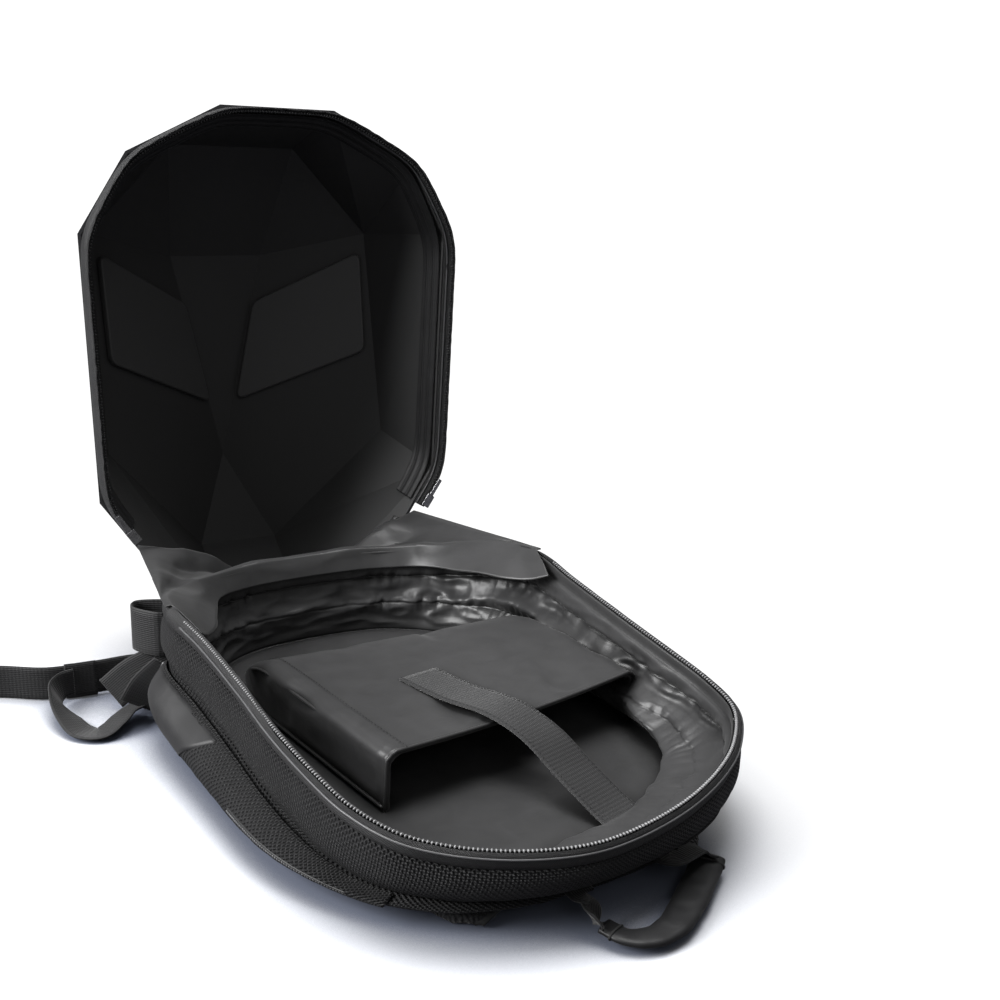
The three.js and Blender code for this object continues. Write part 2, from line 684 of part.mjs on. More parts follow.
function shellSolid(cornerOf, rimDrop) {
  const names = Object.keys(corners).filter((n) => n !== "-L");
  const points = names.map(cornerOf);
  const triangles = [];
  facets.forEach((f) => {
    for (let i = 1; i < f.length - 1; i += 1) triangles.push([f[0], f[i], f[i + 1]].map((n) => names.indexOf(n)));
  });
  const rimStart = points.length;
  rimOrder.forEach((n) => points.push(cornerOf(n).clone().setZ(rimDrop === 0 ? cornerOf(n).z : -rimDrop)));
  const centre = points.length;
  points.push(point(0, lidLength / 2, -rimDrop));
  rimOrder.forEach((n, i) => {
    const next = (i + 1) % rimOrder.length;
    const [a, b] = [names.indexOf(n), names.indexOf(rimOrder[next])];
    if (rimDrop > 0) triangles.push([a, b, rimStart + next], [a, rimStart + next, rimStart + i]);
    triangles.push(rimDrop > 0 ? [rimStart + i, rimStart + next, centre] : [a, b, centre]);
  });
  return solidOf(closedGeometry(points, triangles));
}

// Frame of the right cheek facet: the screen is drawn in it and pushed out along its normal.
const cheekNormal = facetNormal(["D", "L", "E"]);
const screenPoints = screenCorners.map(({ across, up }) => {
  const p = lidPoint({ across, up, out: 0 });
  return p.setZ(outOnPlane(corners.D, corners.E, corners.L, p.x, p.y));
});
const cheekOrigin = screenPoints.reduce((sum, p) => sum.add(p.clone()), point(0, 0, 0)).divideScalar(4);
const cheekRun = screenPoints[2].clone().sub(screenPoints[3]).normalize();
const cheekRise = cheekNormal.clone().cross(cheekRun);
const cheekFrame = new THREE.Matrix4().makeBasis(cheekRun, cheekRise, cheekNormal).setPosition(cheekOrigin);

// The screen's outline, moved out by margin, with rounded corners.
function screenShape(margin) {
  const flat = screenPoints.map((p) => {
    const d = p.clone().sub(cheekOrigin);
    return new THREE.Vector2(d.dot(cheekRun), d.dot(cheekRise));
  });
  const grown = flat.map((p, i) => {
    const before = p.clone().sub(flat[(i + 3) % 4]).normalize();
    const after = flat[(i + 1) % 4].clone().sub(p).normalize();
    const sine = Math.abs(before.x * after.y - before.y * after.x);
    return p.clone().addScaledVector(before, margin / sine).addScaledVector(after, -margin / sine);
  });
  const shape = new THREE.Shape();
  grown.forEach((p, i) => {
    const back = grown[(i + 3) % 4].clone().sub(p).normalize();
    const forth = grown[(i + 1) % 4].clone().sub(p).normalize();
    const radius = screenCornerRadius + margin;
    const [start, end] = [back, forth].map((d) => p.clone().addScaledVector(d, radius));
    if (i === 0) shape.moveTo(start.x, start.y);
    else shape.lineTo(start.x, start.y);
    shape.quadraticCurveTo(p.x, p.y, end.x, end.y);
  });
  return shape;
}

// A plate parallel to the cheek: front and back are depths under the shell's outer face.
function cheekPlate(margin, front, back, rounding = 0) {
  const geometry = new THREE.ExtrudeGeometry(screenShape(margin - rounding), {
    depth: back - front - 2 * rounding,
    curveSegments: 3,
    bevelEnabled: rounding > 0,
    bevelThickness: rounding,
    bevelSize: rounding,
    bevelSegments: 2,
  });
  geometry.translate(0, 0, -back + rounding).applyMatrix4(cheekFrame);
  return geometry;
}

function lidShell() {
  const outer = shellSolid((n) => corners[n], 0);
  const inner = shellSolid((n) => insideCorner(n, shellThickness), 30);
  const hole = cheekPlate(clearance, -10, shellThickness + 10);
  return geometryOf(outer.subtract(inner).subtract(solidOf(hole)).subtract(solidOf(mirrored(merged(hole)))));
}

function merged(geometry) {
  const bare = geometry.clone();
  bare.deleteAttribute("normal");
  bare.deleteAttribute("uv");
  return mergeVertices(bare, 1e-4);
}

const ledScreen = () => merged(cheekPlate(0, screenRecess, screenRecess + screenThickness));
const ledHousing = () => {
  const front = shellThickness + clearance;
  return merged(cheekPlate(housingMargin, front, front + housingThickness, 1.5));
};

// Points along the lid's rim, drawn in by inset, from one end on the lid's slanted lower edge to the other:
// over the top for the zip, and under the chin for the gusset. reach is the height of the ends.
const gussetReach = 0.218;
const zipReach = 0.232;
const slantTop = shellCorners.J.up;

function rimPath(overTop, inset) {
  const reach = overTop ? zipReach : gussetReach;
  const end = corners.J.clone().lerp(corners.N, (slantTop - reach) / slantTop);
  const names = overTop ? ["J", "H", "G", "T"] : ["N"];
  const half = [end, ...names.map((n) => corners[n].clone())];
  const path = [...half, ...half.map((p) => point(-p.x, p.y, p.z)).reverse()];
  const centre = point(0, lidLength / 2, 0);
  return path.map((p) => {
    const inward = centre.clone().sub(p).setZ(0).normalize();
    return p.clone().addScaledVector(inward, inset);
  });
}

function alongPolyline(path, count) {
  const lengths = path.slice(1).map((p, i) => p.distanceTo(path[i]));
  const total = lengths.reduce((a, b) => a + b, 0);
  return Array.from({ length: count + 1 }, (_, i) => {
    let rest = (i / count) * total;
    let k = 0;
    while (k < lengths.length - 1 && rest > lengths[k]) {
      rest -= lengths[k];
      k += 1;
    }
    return path[k].clone().lerp(path[k + 1], Math.min(1, rest / lengths[k]));
  });
}

// The lid's half of the zip: a tape on the rim's edge, and the coil inside its free edge.
const lidTapeSteps = 48;

function lidRibbon(inset, thickness, fromRim, width) {
  const outer = alongPolyline(rimPath(true, inset), lidTapeSteps);
  const inner = alongPolyline(rimPath(true, inset + thickness), lidTapeSteps);
  const sections = outer.map((p, i) => {
    const [top, bottom] = fromRim ? [p.z - clearance, -width] : [width - lidTapeWidth, -lidTapeWidth];
    return [
      p.clone().setZ(top),
      inner[i].clone().setZ(top),
      inner[i].clone().setZ(bottom),
      p.clone().setZ(bottom),
    ];
  });
  return solidThroughRings(sections);
}

// Slider at the tape's end: a body over the coil, with its puller folded back along the tape.
function zipSlider() {
  const [end, next] = rimPath(true, 0);
  const along = next.clone().sub(end).setZ(0).normalize();
  const inward = point(-along.y, along.x, 0);
  const bar = (from, length, inset, width, front, depth) => {
    const sections = [from, from + length].map((a) =>
      [
        [inset, front],
        [inset + width, front],
        [inset + width, front + depth],
        [inset, front + depth],
      ].map(([i, w]) => end.clone().setZ(-lidTapeWidth - w).addScaledVector(along, a).addScaledVector(inward, i)),
    );
    return solidOf(solidThroughRings(sections));
  };
  const body = bar(1, sliderLength, -1, 8, clearance, 4.5);
  const puller = bar(sliderLength - 2, pullerLength, 1, 4, 3, 1.4);
  return geometryOf(body.add(puller));
}

const lidTape = () => lidRibbon(0.5, tapeThickness, true, lidTapeWidth);
const lidChain = () => lidRibbon(0.5 + tapeThickness + clearance, chainWidth, false, chainHeight);

// The lid stands upright: its length runs up, and its depth away from the base.
const lidFrame = new THREE.Matrix4().makeBasis(point(-1, 0, 0), point(0, 0, 1), point(0, 1, 0));
lidFrame.setPosition(0, lidSetback, clearance);

// Gusset

// Folds of the gusset, one row for each ring point of the base from its left end to the middle of the hinge.
// The flap's free edge hangs inside the base: in, down and forward of the base's rim. The ridge stands over
// the lid's edge: up and ahead of it. dip is the depth of the groove between the ridge and the base's rim.
const gussetRows = [
  { in: 14, down: 10, forward: 33, up: 0, ahead: 0, dip: 0 },
  { in: 20, down: 15, forward: 36, up: 17, ahead: 9, dip: 1 },
  { in: 27, down: 15, forward: 30, up: 33, ahead: 16, dip: 4 },
  { in: 28, down: 13, forward: 18, up: 49, ahead: 18, dip: 9 },
  { in: 25, down: 13, forward: 8, up: 61, ahead: 18, dip: 10 },
  { in: 18, down: 13, forward: 2, up: 73, ahead: 18, dip: 9 },
  { in: 13, down: 14, forward: 0, up: 76, ahead: 18, dip: 8 },
  { in: 11, down: 15, forward: 0, up: 62, ahead: 18, dip: 8 },
  { in: 11, down: 15, forward: 0, up: 52, ahead: 16, dip: 8 },
  { in: 11, down: 15, forward: 0, up: 47, ahead: 14, dip: 8 },
];
const gussetThickness = 1.6;

// A sheet's two faces, half its thickness to each side of a grid of points.
function solidAroundGrid(grid, thickness) {
  const at = (i, j) => grid[THREE.MathUtils.clamp(i, 0, grid.length - 1)][THREE.MathUtils.clamp(j, 0, grid[0].length - 1)];
  const face = (side) =>
    grid.map((row, i) =>
      row.map((p, j) => {
        const down = at(i + 1, j).clone().sub(at(i - 1, j));
        const across = at(i, j + 1).clone().sub(at(i, j - 1));
        return p.clone().addScaledVector(down.cross(across).normalize(), (side * thickness) / 2);
      }),
    );
  return solidSheet(face(1), face(-1));
}

function hingeGusset() {
  const steps = 2 * (gussetRows.length - 1);
  const lift = clearance + gussetThickness / 2;
  const lidEdge = alongPolyline(rimPath(false, 1), steps).map((p) => p.setZ(-lift).applyMatrix4(lidFrame));
  const grid = lidEdge.map((end, i) => {
    const row = gussetRows[Math.min(i, steps - i)];
    const k = wrap(zipEndStep - i);
    const overRim = (offset, rise) => rimRing[k].clone().addScaledVector(outward[k], offset).add(point(0, 0, rise));
    const free = overRim(-row.in, -row.down).add(point(0, -row.forward, 0));
    const inner = overRim(-tapeThickness - 2, lift + 0.2);
    const outer = overRim(1, lift + 0.2);
    const ridge = end.clone().add(point(0, -row.ahead, row.up));
    const groove = outer.clone().lerp(ridge, 0.7).add(point(0, 0, -row.dip));
    return [
      free,
      free.clone().lerp(inner, 0.5).add(point(0, 0, row.in * 0.06)),
      inner,
      outer,
      outer.clone().lerp(groove, 0.5),
      groove,
      ridge,
      ridge.clone().lerp(end, 0.35).add(point(0, 3 * Math.min(1, row.ahead / 9), 0)),
      end,
    ];
  });
  return solidAroundGrid(grid, gussetThickness);
}

// Assembly

const base = new THREE.Group();
base.add(
  meshFrom("outer_fabric", outerFabric(), fabric),
  meshFrom("lining", liningShell(), satin),
  meshFrom("base_zip_tape", rimBand(), webbing),
  meshFrom("base_zip_chain", baseChain(), coil),
  meshFrom("side_pocket_left", sidePocket(-1), fabric),
  meshFrom("side_pocket_right", sidePocket(1), fabric),
  meshFrom("back_pad", backPad(), padMesh),
  meshFrom("shoulder_strap_left", shoulderStrap(-1), padMesh),
  meshFrom("shoulder_strap_right", shoulderStrap(1), padMesh),
  meshFrom("laptop_sleeve", laptopSleeve(), satin),
  meshFrom("retention_strap", ribbon(retentionPath, retentionWidth, webbingThickness, 24), webbing),
  meshFrom("strap_tail", ribbon(strapTailPath, webbingWidth, webbingThickness, 20), webbing),
  meshFrom("strap_keeper", ribbon(keeperPath, webbingWidth + 2, webbingThickness, 6), webbing),
  meshFrom("floor_loop", ribbon(floorLoopPath, webbingWidth * 0.8, webbingThickness, 32), webbing),
  meshFrom("upper_anchor", ribbon(upperAnchorPath, webbingWidth, webbingThickness, 10), webbing),
  meshFrom("lower_anchor", ribbon(lowerAnchorPath, webbingWidth, webbingThickness, 10), webbing),
  meshFrom("side_loop", ribbon(sideLoopPath, sideLoopWidth, webbingThickness, 24), webbing),
  meshFrom("loop_tail", ribbon(loopTailPath, webbingWidth, webbingThickness, 8), webbing),
  meshFrom("handle_tail_left", ribbon(handleTailLeft, webbingWidth, webbingThickness, 8), webbing),
  meshFrom("handle_tail_right", ribbon(handleTailRight, webbingWidth, webbingThickness, 8), webbing),
  meshFrom("handle_grip", carryGrip(), smoothWrap),
  meshFrom("hinge_gusset", hingeGusset(), satin),
);

const lid = new THREE.Group();
lid.applyMatrix4(lidFrame);
lid.add(
  meshFrom("lid_shell", lidShell(), shellPlastic),
  meshFrom("led_screen_left", ledScreen(), screenGlass),
  meshFrom("led_screen_right", mirrored(ledScreen()), screenGlass),
  meshFrom("led_housing_left", ledHousing(), shellPlastic),
  meshFrom("led_housing_right", mirrored(ledHousing()), shellPlastic),
  meshFrom("lid_zip_tape", lidTape(), webbing),
  meshFrom("lid_zip_chain", lidChain(), coil),
  meshFrom("zip_slider_left", zipSlider(), metal),
  meshFrom("zip_slider_right", mirrored(zipSlider()), metal),
);

const backpack = new THREE.Group();
backpack.add(base, lid);

export default backpack;
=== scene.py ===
import math

import bmesh
import bpy
import numpy as np
from mathutils import Matrix, Vector, noise


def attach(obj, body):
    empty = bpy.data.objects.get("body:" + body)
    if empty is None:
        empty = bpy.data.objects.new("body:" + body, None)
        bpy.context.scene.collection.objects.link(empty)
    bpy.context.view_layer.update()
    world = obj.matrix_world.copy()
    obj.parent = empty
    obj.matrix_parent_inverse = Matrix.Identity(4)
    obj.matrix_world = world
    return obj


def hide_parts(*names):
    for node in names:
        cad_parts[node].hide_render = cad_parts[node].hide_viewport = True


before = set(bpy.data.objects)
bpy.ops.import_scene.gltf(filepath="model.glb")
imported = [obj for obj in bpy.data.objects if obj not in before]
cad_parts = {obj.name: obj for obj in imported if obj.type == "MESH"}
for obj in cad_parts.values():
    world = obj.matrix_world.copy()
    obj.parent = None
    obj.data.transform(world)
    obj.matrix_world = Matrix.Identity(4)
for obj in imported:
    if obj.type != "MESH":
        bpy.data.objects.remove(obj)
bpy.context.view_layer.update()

# Camera, daylight and floor.
# The camera stands in front of the carry handle, to the left, a little above the lid's middle. A white
# floor and a white sky give the even studio light, and three soft boxes shape the black cloth.
azimuth, elevation, roll = (math.radians(a) for a in (-30.719, 18.994, 1.942))
aim, stand_off = Vector((0, 0, 0.144)), 0.824374


def placed(name, data):
    """A new object in the scene that shows the given data."""
    made = bpy.data.objects.new(name, data)
    bpy.context.collection.objects.link(made)
    return made


back = Vector(
    (math.sin(azimuth) * math.cos(elevation), -math.cos(azimuth) * math.cos(elevation), math.sin(elevation))
)
level_right = Vector((math.cos(azimuth), math.sin(azimuth), 0))
level_up = back.cross(level_right)
view_right = level_right * math.cos(roll) + level_up * math.sin(roll)
view_up = level_up * math.cos(roll) - level_right * math.sin(roll)
stand = Matrix((view_right, view_up, back)).transposed().to_4x4()
stand.translation = aim + back * stand_off
lens = bpy.data.cameras.new("camera")
lens.sensor_width, lens.lens = 36, 42.8
lens.shift_x, lens.shift_y = 0.05798, 0.07274
camera = placed("camera", lens)
camera.matrix_world = stand
bpy.context.scene.camera = camera
bpy.context.scene.view_settings.view_transform = "Standard"


def soft_box(name, place, target, size, power):
    """A rectangular lamp turned to its target; metres and watts."""
    lamp = bpy.data.lights.new(name, "AREA")
    lamp.shape, lamp.size, lamp.size_y, lamp.energy = "RECTANGLE", *size, power
    box = placed(name, lamp)
    box.location = place
    box.rotation_euler = (Vector(target) - Vector(place)).to_track_quat("-Z", "Y").to_euler()


soft_box("window_left", (-1.9, 0.3, 1.15), (0, 0, 0.1), (1.2, 1.2), 92)
soft_box("window_front", (-0.6, -2.0, 1.6), (0, 0, 0.1), (0.8, 0.8), 3)
soft_box("ceiling", (0.1, 0.3, 2.3), (0, 0, 0), (1.4, 1.2), 56)


def add(tree, kind, ins=None, **settings):
    """One shader node, its inputs given by name or number as values or as other nodes' outputs."""
    made = tree.nodes.new(kind)
    for key, value in settings.items():
        setattr(made, key, value)
    for key, value in (ins or {}).items():
        if isinstance(value, bpy.types.NodeSocket):
            tree.links.new(value, made.inputs[key])
        else:
            made.inputs[key].default_value = value
    return made


def maths(tree, what, a, b=0.0, c=0.0):
    """One step of arithmetic on values or on other nodes' outputs."""
    return add(tree, "ShaderNodeMath", {0: a, 1: b, 2: c}, operation=what).outputs[0]


def new_finish(name, roughness, **sockets):
    """A material with one principled shader; the names of sockets have _ for their blanks."""
    finish = bpy.data.materials.new(name)
    finish.use_nodes = True
    shader = finish.node_tree.nodes["Principled BSDF"]
    shader.inputs["Roughness"].default_value = roughness
    for key, value in sockets.items():
        shader.inputs[key.replace("_", " ")].default_value = value
    return finish, finish.node_tree, shader


def tint(tree, share, dark, light):
    """The colour at a share of the way from dark to light; either may be another node's output."""
    blend = add(tree, "ShaderNodeMix", {0: share}, data_type="RGBA")
    for number, colour in ((6, dark), (7, light)):
        if isinstance(colour, tuple):
            blend.inputs[number].default_value = (*colour, 1)
        else:
            tree.links.new(colour, blend.inputs[number])
    return blend.outputs[2]


def speckle(tree, scale, detail=2.0, distortion=0.0):
    """Noise that is fixed to the piece; scale is its features to the metre."""
    place = add(tree, "ShaderNodeTexCoord").outputs["Object"]
    ins = {"Vector": place, "Scale": scale, "Detail": detail, "Distortion": distortion}
    return add(tree, "ShaderNodeTexNoise", ins).outputs[0]


def studio_floor():
    """White paper round the bag with a painted bluish-grey shadow close about it, that fades to plain white
    light further off.
    """
    finish, tree, shader = new_finish("studio_paper", 0.9, Specular_IOR_Level=0.1)
    seen = add(tree, "ShaderNodeLightPath").outputs["Is Camera Ray"]
    paper = tint(tree, speckle(tree, 3.0), (0.86, 0.87, 0.9), (0.88, 0.89, 0.92))
    # Painted shadow: the paper turns bluish grey where the bag stands close over it.
    painted_contact_shadow = add(tree, "ShaderNodeAmbientOcclusion", {"Distance": 0.16}, samples=8).outputs["AO"]
    painted_contact_shadow = add(tree, "ShaderNodeMapRange", {0: painted_contact_shadow, 1: 0.35, 2: 0.95}).outputs[0]
    shaded = tint(tree, painted_contact_shadow, (0.13, 0.145, 0.19), paper)
    tree.links.new(tint(tree, seen, (0.09, 0.09, 0.1), shaded), shader.inputs["Base Color"])
    place = add(tree, "ShaderNodeTexCoord").outputs["Object"]
    far = add(tree, "ShaderNodeVectorMath", {0: place, 1: (0.12, 0.07, 0.0)}, operation="ADD").outputs[0]
    far = add(tree, "ShaderNodeVectorMath", {0: far, 1: (1.0, 0.8, 1.0)}, operation="MULTIPLY").outputs[0]
    far = add(tree, "ShaderNodeVectorMath", {0: far}, operation="LENGTH").outputs["Value"]
    limits = {0: far, 1: 0.22, 2: 0.4}
    fade = add(tree, "ShaderNodeMapRange", limits, interpolation_type="SMOOTHSTEP").outputs[0]
    glow = add(tree, "ShaderNodeEmission", {"Color": (1, 1, 1, 1), "Strength": 1.1}).outputs[0]
    share = maths(tree, "MULTIPLY", fade, seen)
    mixed = add(tree, "ShaderNodeMixShader", {0: share, 1: shader.outputs[0], 2: glow}).outputs[0]
    tree.links.new(mixed, tree.nodes["Material Output"].inputs["Surface"])
    reach = 6.0
    mesh = bpy.data.meshes.new("studio_floor")
    corners = [(-reach, -reach, 0), (reach, -reach, 0), (reach, reach, 0), (-reach, reach, 0)]
    mesh.from_pydata(corners, [], [(0, 1, 2, 3)])
    mesh.materials.append(finish)
    floor = placed("studio_floor", mesh)
    floor.location.z = -0.0004


studio_floor()
sky = bpy.data.worlds.new("studio_sky")
sky.use_nodes = True
sky_light = sky.node_tree.nodes["Background"]
seen_directly = add(sky.node_tree, "ShaderNodeLightPath").outputs["Is Camera Ray"]
sky.node_tree.links.new(
    maths(sky.node_tree, "MULTIPLY_ADD", seen_directly, 0.95, 0.2), sky_light.inputs["Strength"]
)
sky_light.inputs["Color"].default_value = (1, 1, 1, 1)
bpy.context.scene.world = sky

# Outer cloth of the base.
# A tub sewn from heavy ballistic nylon: an upper band, a crease where it is sewn to the lower band, and a
# rounded foot. The wall narrows towards the handle and swells a little between its seams.
bag_length, half_width, gap = 450, 170, 0.3
tape_height, tub_bottom, upper_band, bulge = 10, 10, 36, 6
well_floor = tub_bottom + 5
rim_at_hinge, rim_at_zip_end, rim_at_handle = 88, 108, 60
# Rows from the hinge to the handle: zip line along, left, right; foot along, left, right.
outline = np.array(
    [
        [0.0, 0.29, 0.29, 0.025, 0.27, 0.27],
        [0.03, 0.53, 0.53, 0.058, 0.48, 0.48],
        [0.093, 0.74, 0.74, 0.116, 0.66, 0.66],
        [0.178, 0.895, 0.88, 0.196, 0.82, 0.81],
        [0.267, 0.96, 0.925, 0.278, 0.94, 0.9],
        [0.378, 0.925, 0.925, 0.378, 0.965, 0.92],
        [0.52, 0.905, 0.925, 0.507, 0.955, 0.93],
        [0.636, 0.9, 0.93, 0.611, 0.935, 0.93],
        [0.742, 0.875, 0.93, 0.7, 0.89, 0.91],
        [0.82, 0.838, 0.885, 0.767, 0.83, 0.86],
        [0.891, 0.752, 0.72, 0.832, 0.745, 0.745],
        [0.938, 0.62, 0.53, 0.877, 0.63, 0.58],
        [0.978, 0.42, 0.27, 0.905, 0.47, 0.34],
        [1.0, 0.2, -0.02, 0.915, 0.25, 0.06],
    ]
)
zip_end_along = 0.267
ring_size, per_step = 448, 8  # points round the bag, and in one step of its outline
ring_steps = ring_size // per_step
all_round = np.arange(ring_size) / per_step


def through(points, count, closed=False):
    """Evenly numbered points of a smooth curve through the given ones."""
    p = np.asarray(points, float)
    n = len(p)
    t = np.arange(count) / count * n if closed else np.linspace(0, n - 1, count)
    i = np.minimum(np.floor(t).astype(int), n - 1 if closed else n - 2)
    w = (t - i)[:, None]
    if closed:
        a, b, c, d = (p[(i + j) % n] for j in (-1, 0, 1, 2))
    else:
        grown = np.vstack([2 * p[0] - p[1], p, 2 * p[-1] - p[-2]])
        a, b, c, d = (grown[i + j] for j in range(4))
    ab, bc, cd = (
        np.maximum(np.linalg.norm(y[:, :3] - x[:, :3], axis=1), 1e-4)[:, None] ** 0.5
        for x, y in ((a, b), (b, c), (c, d))
    )
    start = ((b - a) / ab - (c - a) / (ab + bc) + (c - b) / bc) * bc
    end = ((c - b) / bc - (d - b) / (bc + cd) + (d - c) / cd) * bc
    return b + w * start + w**2 * (3 * (c - b) - 2 * start - end) + w**3 * (2 * (b - c) + start + end)


def unit(directions):
    """The directions, each made 1 long."""
    return directions / np.maximum(np.linalg.norm(directions, axis=-1, keepdims=True), 1e-9)


def smooth_step(x):
    """Rises from 0 to 1 with level ends while x goes from 0 to 1."""
    x = np.clip(x, 0, 1)
    return x * x * (3 - 2 * x)


def rim_height(along):
    """How high the zip line lies: up from the hinge to the zip's end, then down to the handle."""
    rise = rim_at_hinge + (rim_at_zip_end - rim_at_hinge) * smooth_step(along / zip_end_along)
    fall = (rim_at_zip_end - rim_at_handle) * (along - zip_end_along) / (1 - zip_end_along)
    return np.where(along >= zip_end_along, rim_at_zip_end - fall, rise)


def outline_ring(along, left, right, height):
    """A closed ring through the table's shares, at a height."""
    y = bag_length * (0.5 - along)
    sides = np.c_[-left * half_width, y, height], np.c_[right * half_width, y, height][::-1]
    return through(np.vstack(sides), ring_size, True)


rim_ring = outline_ring(*outline[:, :3].T, rim_height(outline[:, 0]))
foot_ring = outline_ring(*outline[:, 3:].T, np.full(len(outline), float(tub_bottom)))
run = unit((np.roll(rim_ring, -per_step, 0) - np.roll(rim_ring, per_step, 0)) * (1, 1, 0))
outward = np.c_[run[:, 1], -run[:, 0], np.zeros(ring_size)]
# The wall's section: share of the way down, and how far it swells.
section = through(
    [
        [0, 0], [0.14, 0.45], [0.3, 0.6], [0.44, 0.1], [0.5, -0.3],
        [0.58, 0.3], [0.72, 1], [0.86, 0.8], [0.95, -0.1], [1, -1.4],
    ],
    200,
)


def at_step(ring, s):
    """Where a ring passes, s steps of the outline round from the hinge's left."""
    x = np.asarray(s, float) * per_step
    i = np.floor(x).astype(int)
    f = (x - i)[..., None]
    return ring[i % ring_size] * (1 - f) + ring[(i + 1) % ring_size] * f


def band_height(height):
    """Height of the upper band on a wall of the given height."""
    return np.minimum(upper_band, height * 0.72)


def wall(s, down, offset=0.0):
    """Points of the side wall: s steps round, down from the tape (0) to the foot (1), offset outwards."""
    s, down, offset = np.broadcast_arrays(*(np.asarray(v, float) for v in (s, down, offset)))
    rim, foot, out = (at_step(ring, s) for ring in (rim_ring, foot_ring, outward))
    top = rim[..., 2] - tape_height - gap
    height = top - tub_bottom
    band = band_height(height)
    drop = np.where(down < 0.5, band * down * 2, band + (height - band) * (down * 2 - 1))
    place = rim + (foot - rim) * ((drop / height) ** 2)[..., None]
    place[..., 2] = top - drop
    return place + out * (np.interp(down, section[:, 0], section[:, 1]) * bulge + offset)[..., None]


def share_down(s, z):
    """Which share down the wall the height z is."""
    top = at_step(rim_ring, s)[..., 2] - tape_height - gap
    band = band_height(top - tub_bottom)
    drop = top - z
    return np.where(drop < band, 0.5 * drop / band, 0.5 + 0.5 * (drop - band) / (top - tub_bottom - band))


# How far the well's wall leans in on its way down: share of the way, millimetres.
lean_rows = np.array([[0, 0], [0.25, 0], [0.5, 0.25], [0.7, 0.8], [0.86, 2], [1, 5]])


def inside(s, share, depth):
    """Points of the well's wall: share of the way down to its floor, depth in from the outer face."""
    s, share, depth = np.broadcast_arrays(*(np.asarray(v, float) for v in (s, share, depth)))
    top = at_step(rim_ring, s)[..., 2] - tape_height - gap
    z = top + (well_floor + 2.3 - top) * share
    lean = np.interp(share, lean_rows[:, 0], lean_rows[:, 1])
    place = wall(s, np.clip(share_down(s, z), 0, 1), -depth - lean)
    place[..., 2] = z
    return place


def wander(points, size, seed=0.0):
    """Smooth hills and dips between -1 and 1, the same each time; size is their breadth."""
    spots = np.asarray(points, float) / size + seed * 7.31
    flat = [noise.noise(Vector(p)) for p in spots.reshape(-1, 3).tolist()]
    return np.array(flat).reshape(spots.shape[:-1])


def smooth_mesh(name, points, faces):
    """A smooth-shaded mesh; its points are given in millimetres."""
    mesh = bpy.data.meshes.new(name)
    mesh.from_pydata((points.reshape(-1, 3) / 1000).tolist(), [], faces)
    mesh.polygons.foreach_set("use_smooth", [True] * len(mesh.polygons))
    return mesh


def surface(name, grid, ring=False, caps=False):
    """A mesh over rows and columns of points, with the cloth's own lengths in metres as its UV map."""
    grid = np.asarray(grid, float)
    rows, columns = grid.shape[:2]
    i, j = np.meshgrid(np.arange(rows - 1), np.arange(columns if ring else columns - 1), indexing="ij")
    following = (j + 1) % columns
    faces = np.stack(
        [i * columns + j, i * columns + following, (i + 1) * columns + following, (i + 1) * columns + j], -1
    ).reshape(-1, 4)
    wide = np.concatenate([grid, grid[:, :1]], 1) if ring else grid
    u = np.concatenate([[0], np.cumsum(np.linalg.norm(np.diff(wide, axis=1), axis=2).mean(0))]) / 1000
    v = np.concatenate([[0], np.cumsum(np.linalg.norm(np.diff(grid, axis=0), axis=2).mean(1))]) / 1000
    corners = np.stack([u[j], v[i], u[j + 1], v[i], u[j + 1], v[i + 1], u[j], v[i + 1]], -1).ravel()
    ends = [list(range(columns))[::-1], list(range((rows - 1) * columns, rows * columns))] if caps else []
    mesh = smooth_mesh(name, grid, faces.tolist() + ends)
    lengths = np.zeros(2 * len(mesh.loops))
    lengths[: len(corners)] = corners
    mesh.uv_layers.new(name="cloth").data.foreach_set("uv", lengths)
    return placed(name, mesh)


def face_out(piece):
    """The piece with all its faces turned outwards."""
    made = bmesh.new()
    made.from_mesh(piece.data)
    bmesh.ops.recalc_face_normals(made, faces=made.faces)
    made.to_mesh(piece.data)
    made.free()
    return piece


def applied(piece):
    """The piece with its modifiers made part of its mesh."""
    made = bpy.data.meshes.new_from_object(piece.evaluated_get(bpy.context.evaluated_depsgraph_get()))
    piece.modifiers.clear()
    piece.data = made
    return piece


def thickened(piece, thickness, side=-1.0):
    """A sheet given its thickness, inwards or, with side 0, to both sides."""
    cloth = piece.modifiers.new("thickness", "SOLIDIFY")
    cloth.thickness, cloth.offset = thickness / 1000, side
    return applied(piece)


def fitted(piece, finish, slot, *stands_for):
    """Gives a piece its finish and its place in the frame."""
    piece.data.materials.clear()
    piece.data.materials.append(finish)
    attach(piece, "root")
    if stands_for:
        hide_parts(*stands_for)
    return piece


def cloth_lengths(tree):
    """The cloth's own two lengths, in metres."""
    flat = add(tree, "ShaderNodeSeparateXYZ", {0: add(tree, "ShaderNodeUVMap", uv_map="cloth").outputs[0]})
    return flat.outputs[0], flat.outputs[1]


def dress(tree, shader, colour, bump, rough):
    """Joins a colour, a relief and a roughness to the shader."""
    for socket, value in (("Base Color", colour), ("Normal", bump.outputs[0]), ("Roughness", rough)):
        tree.links.new(value, shader.inputs[socket])


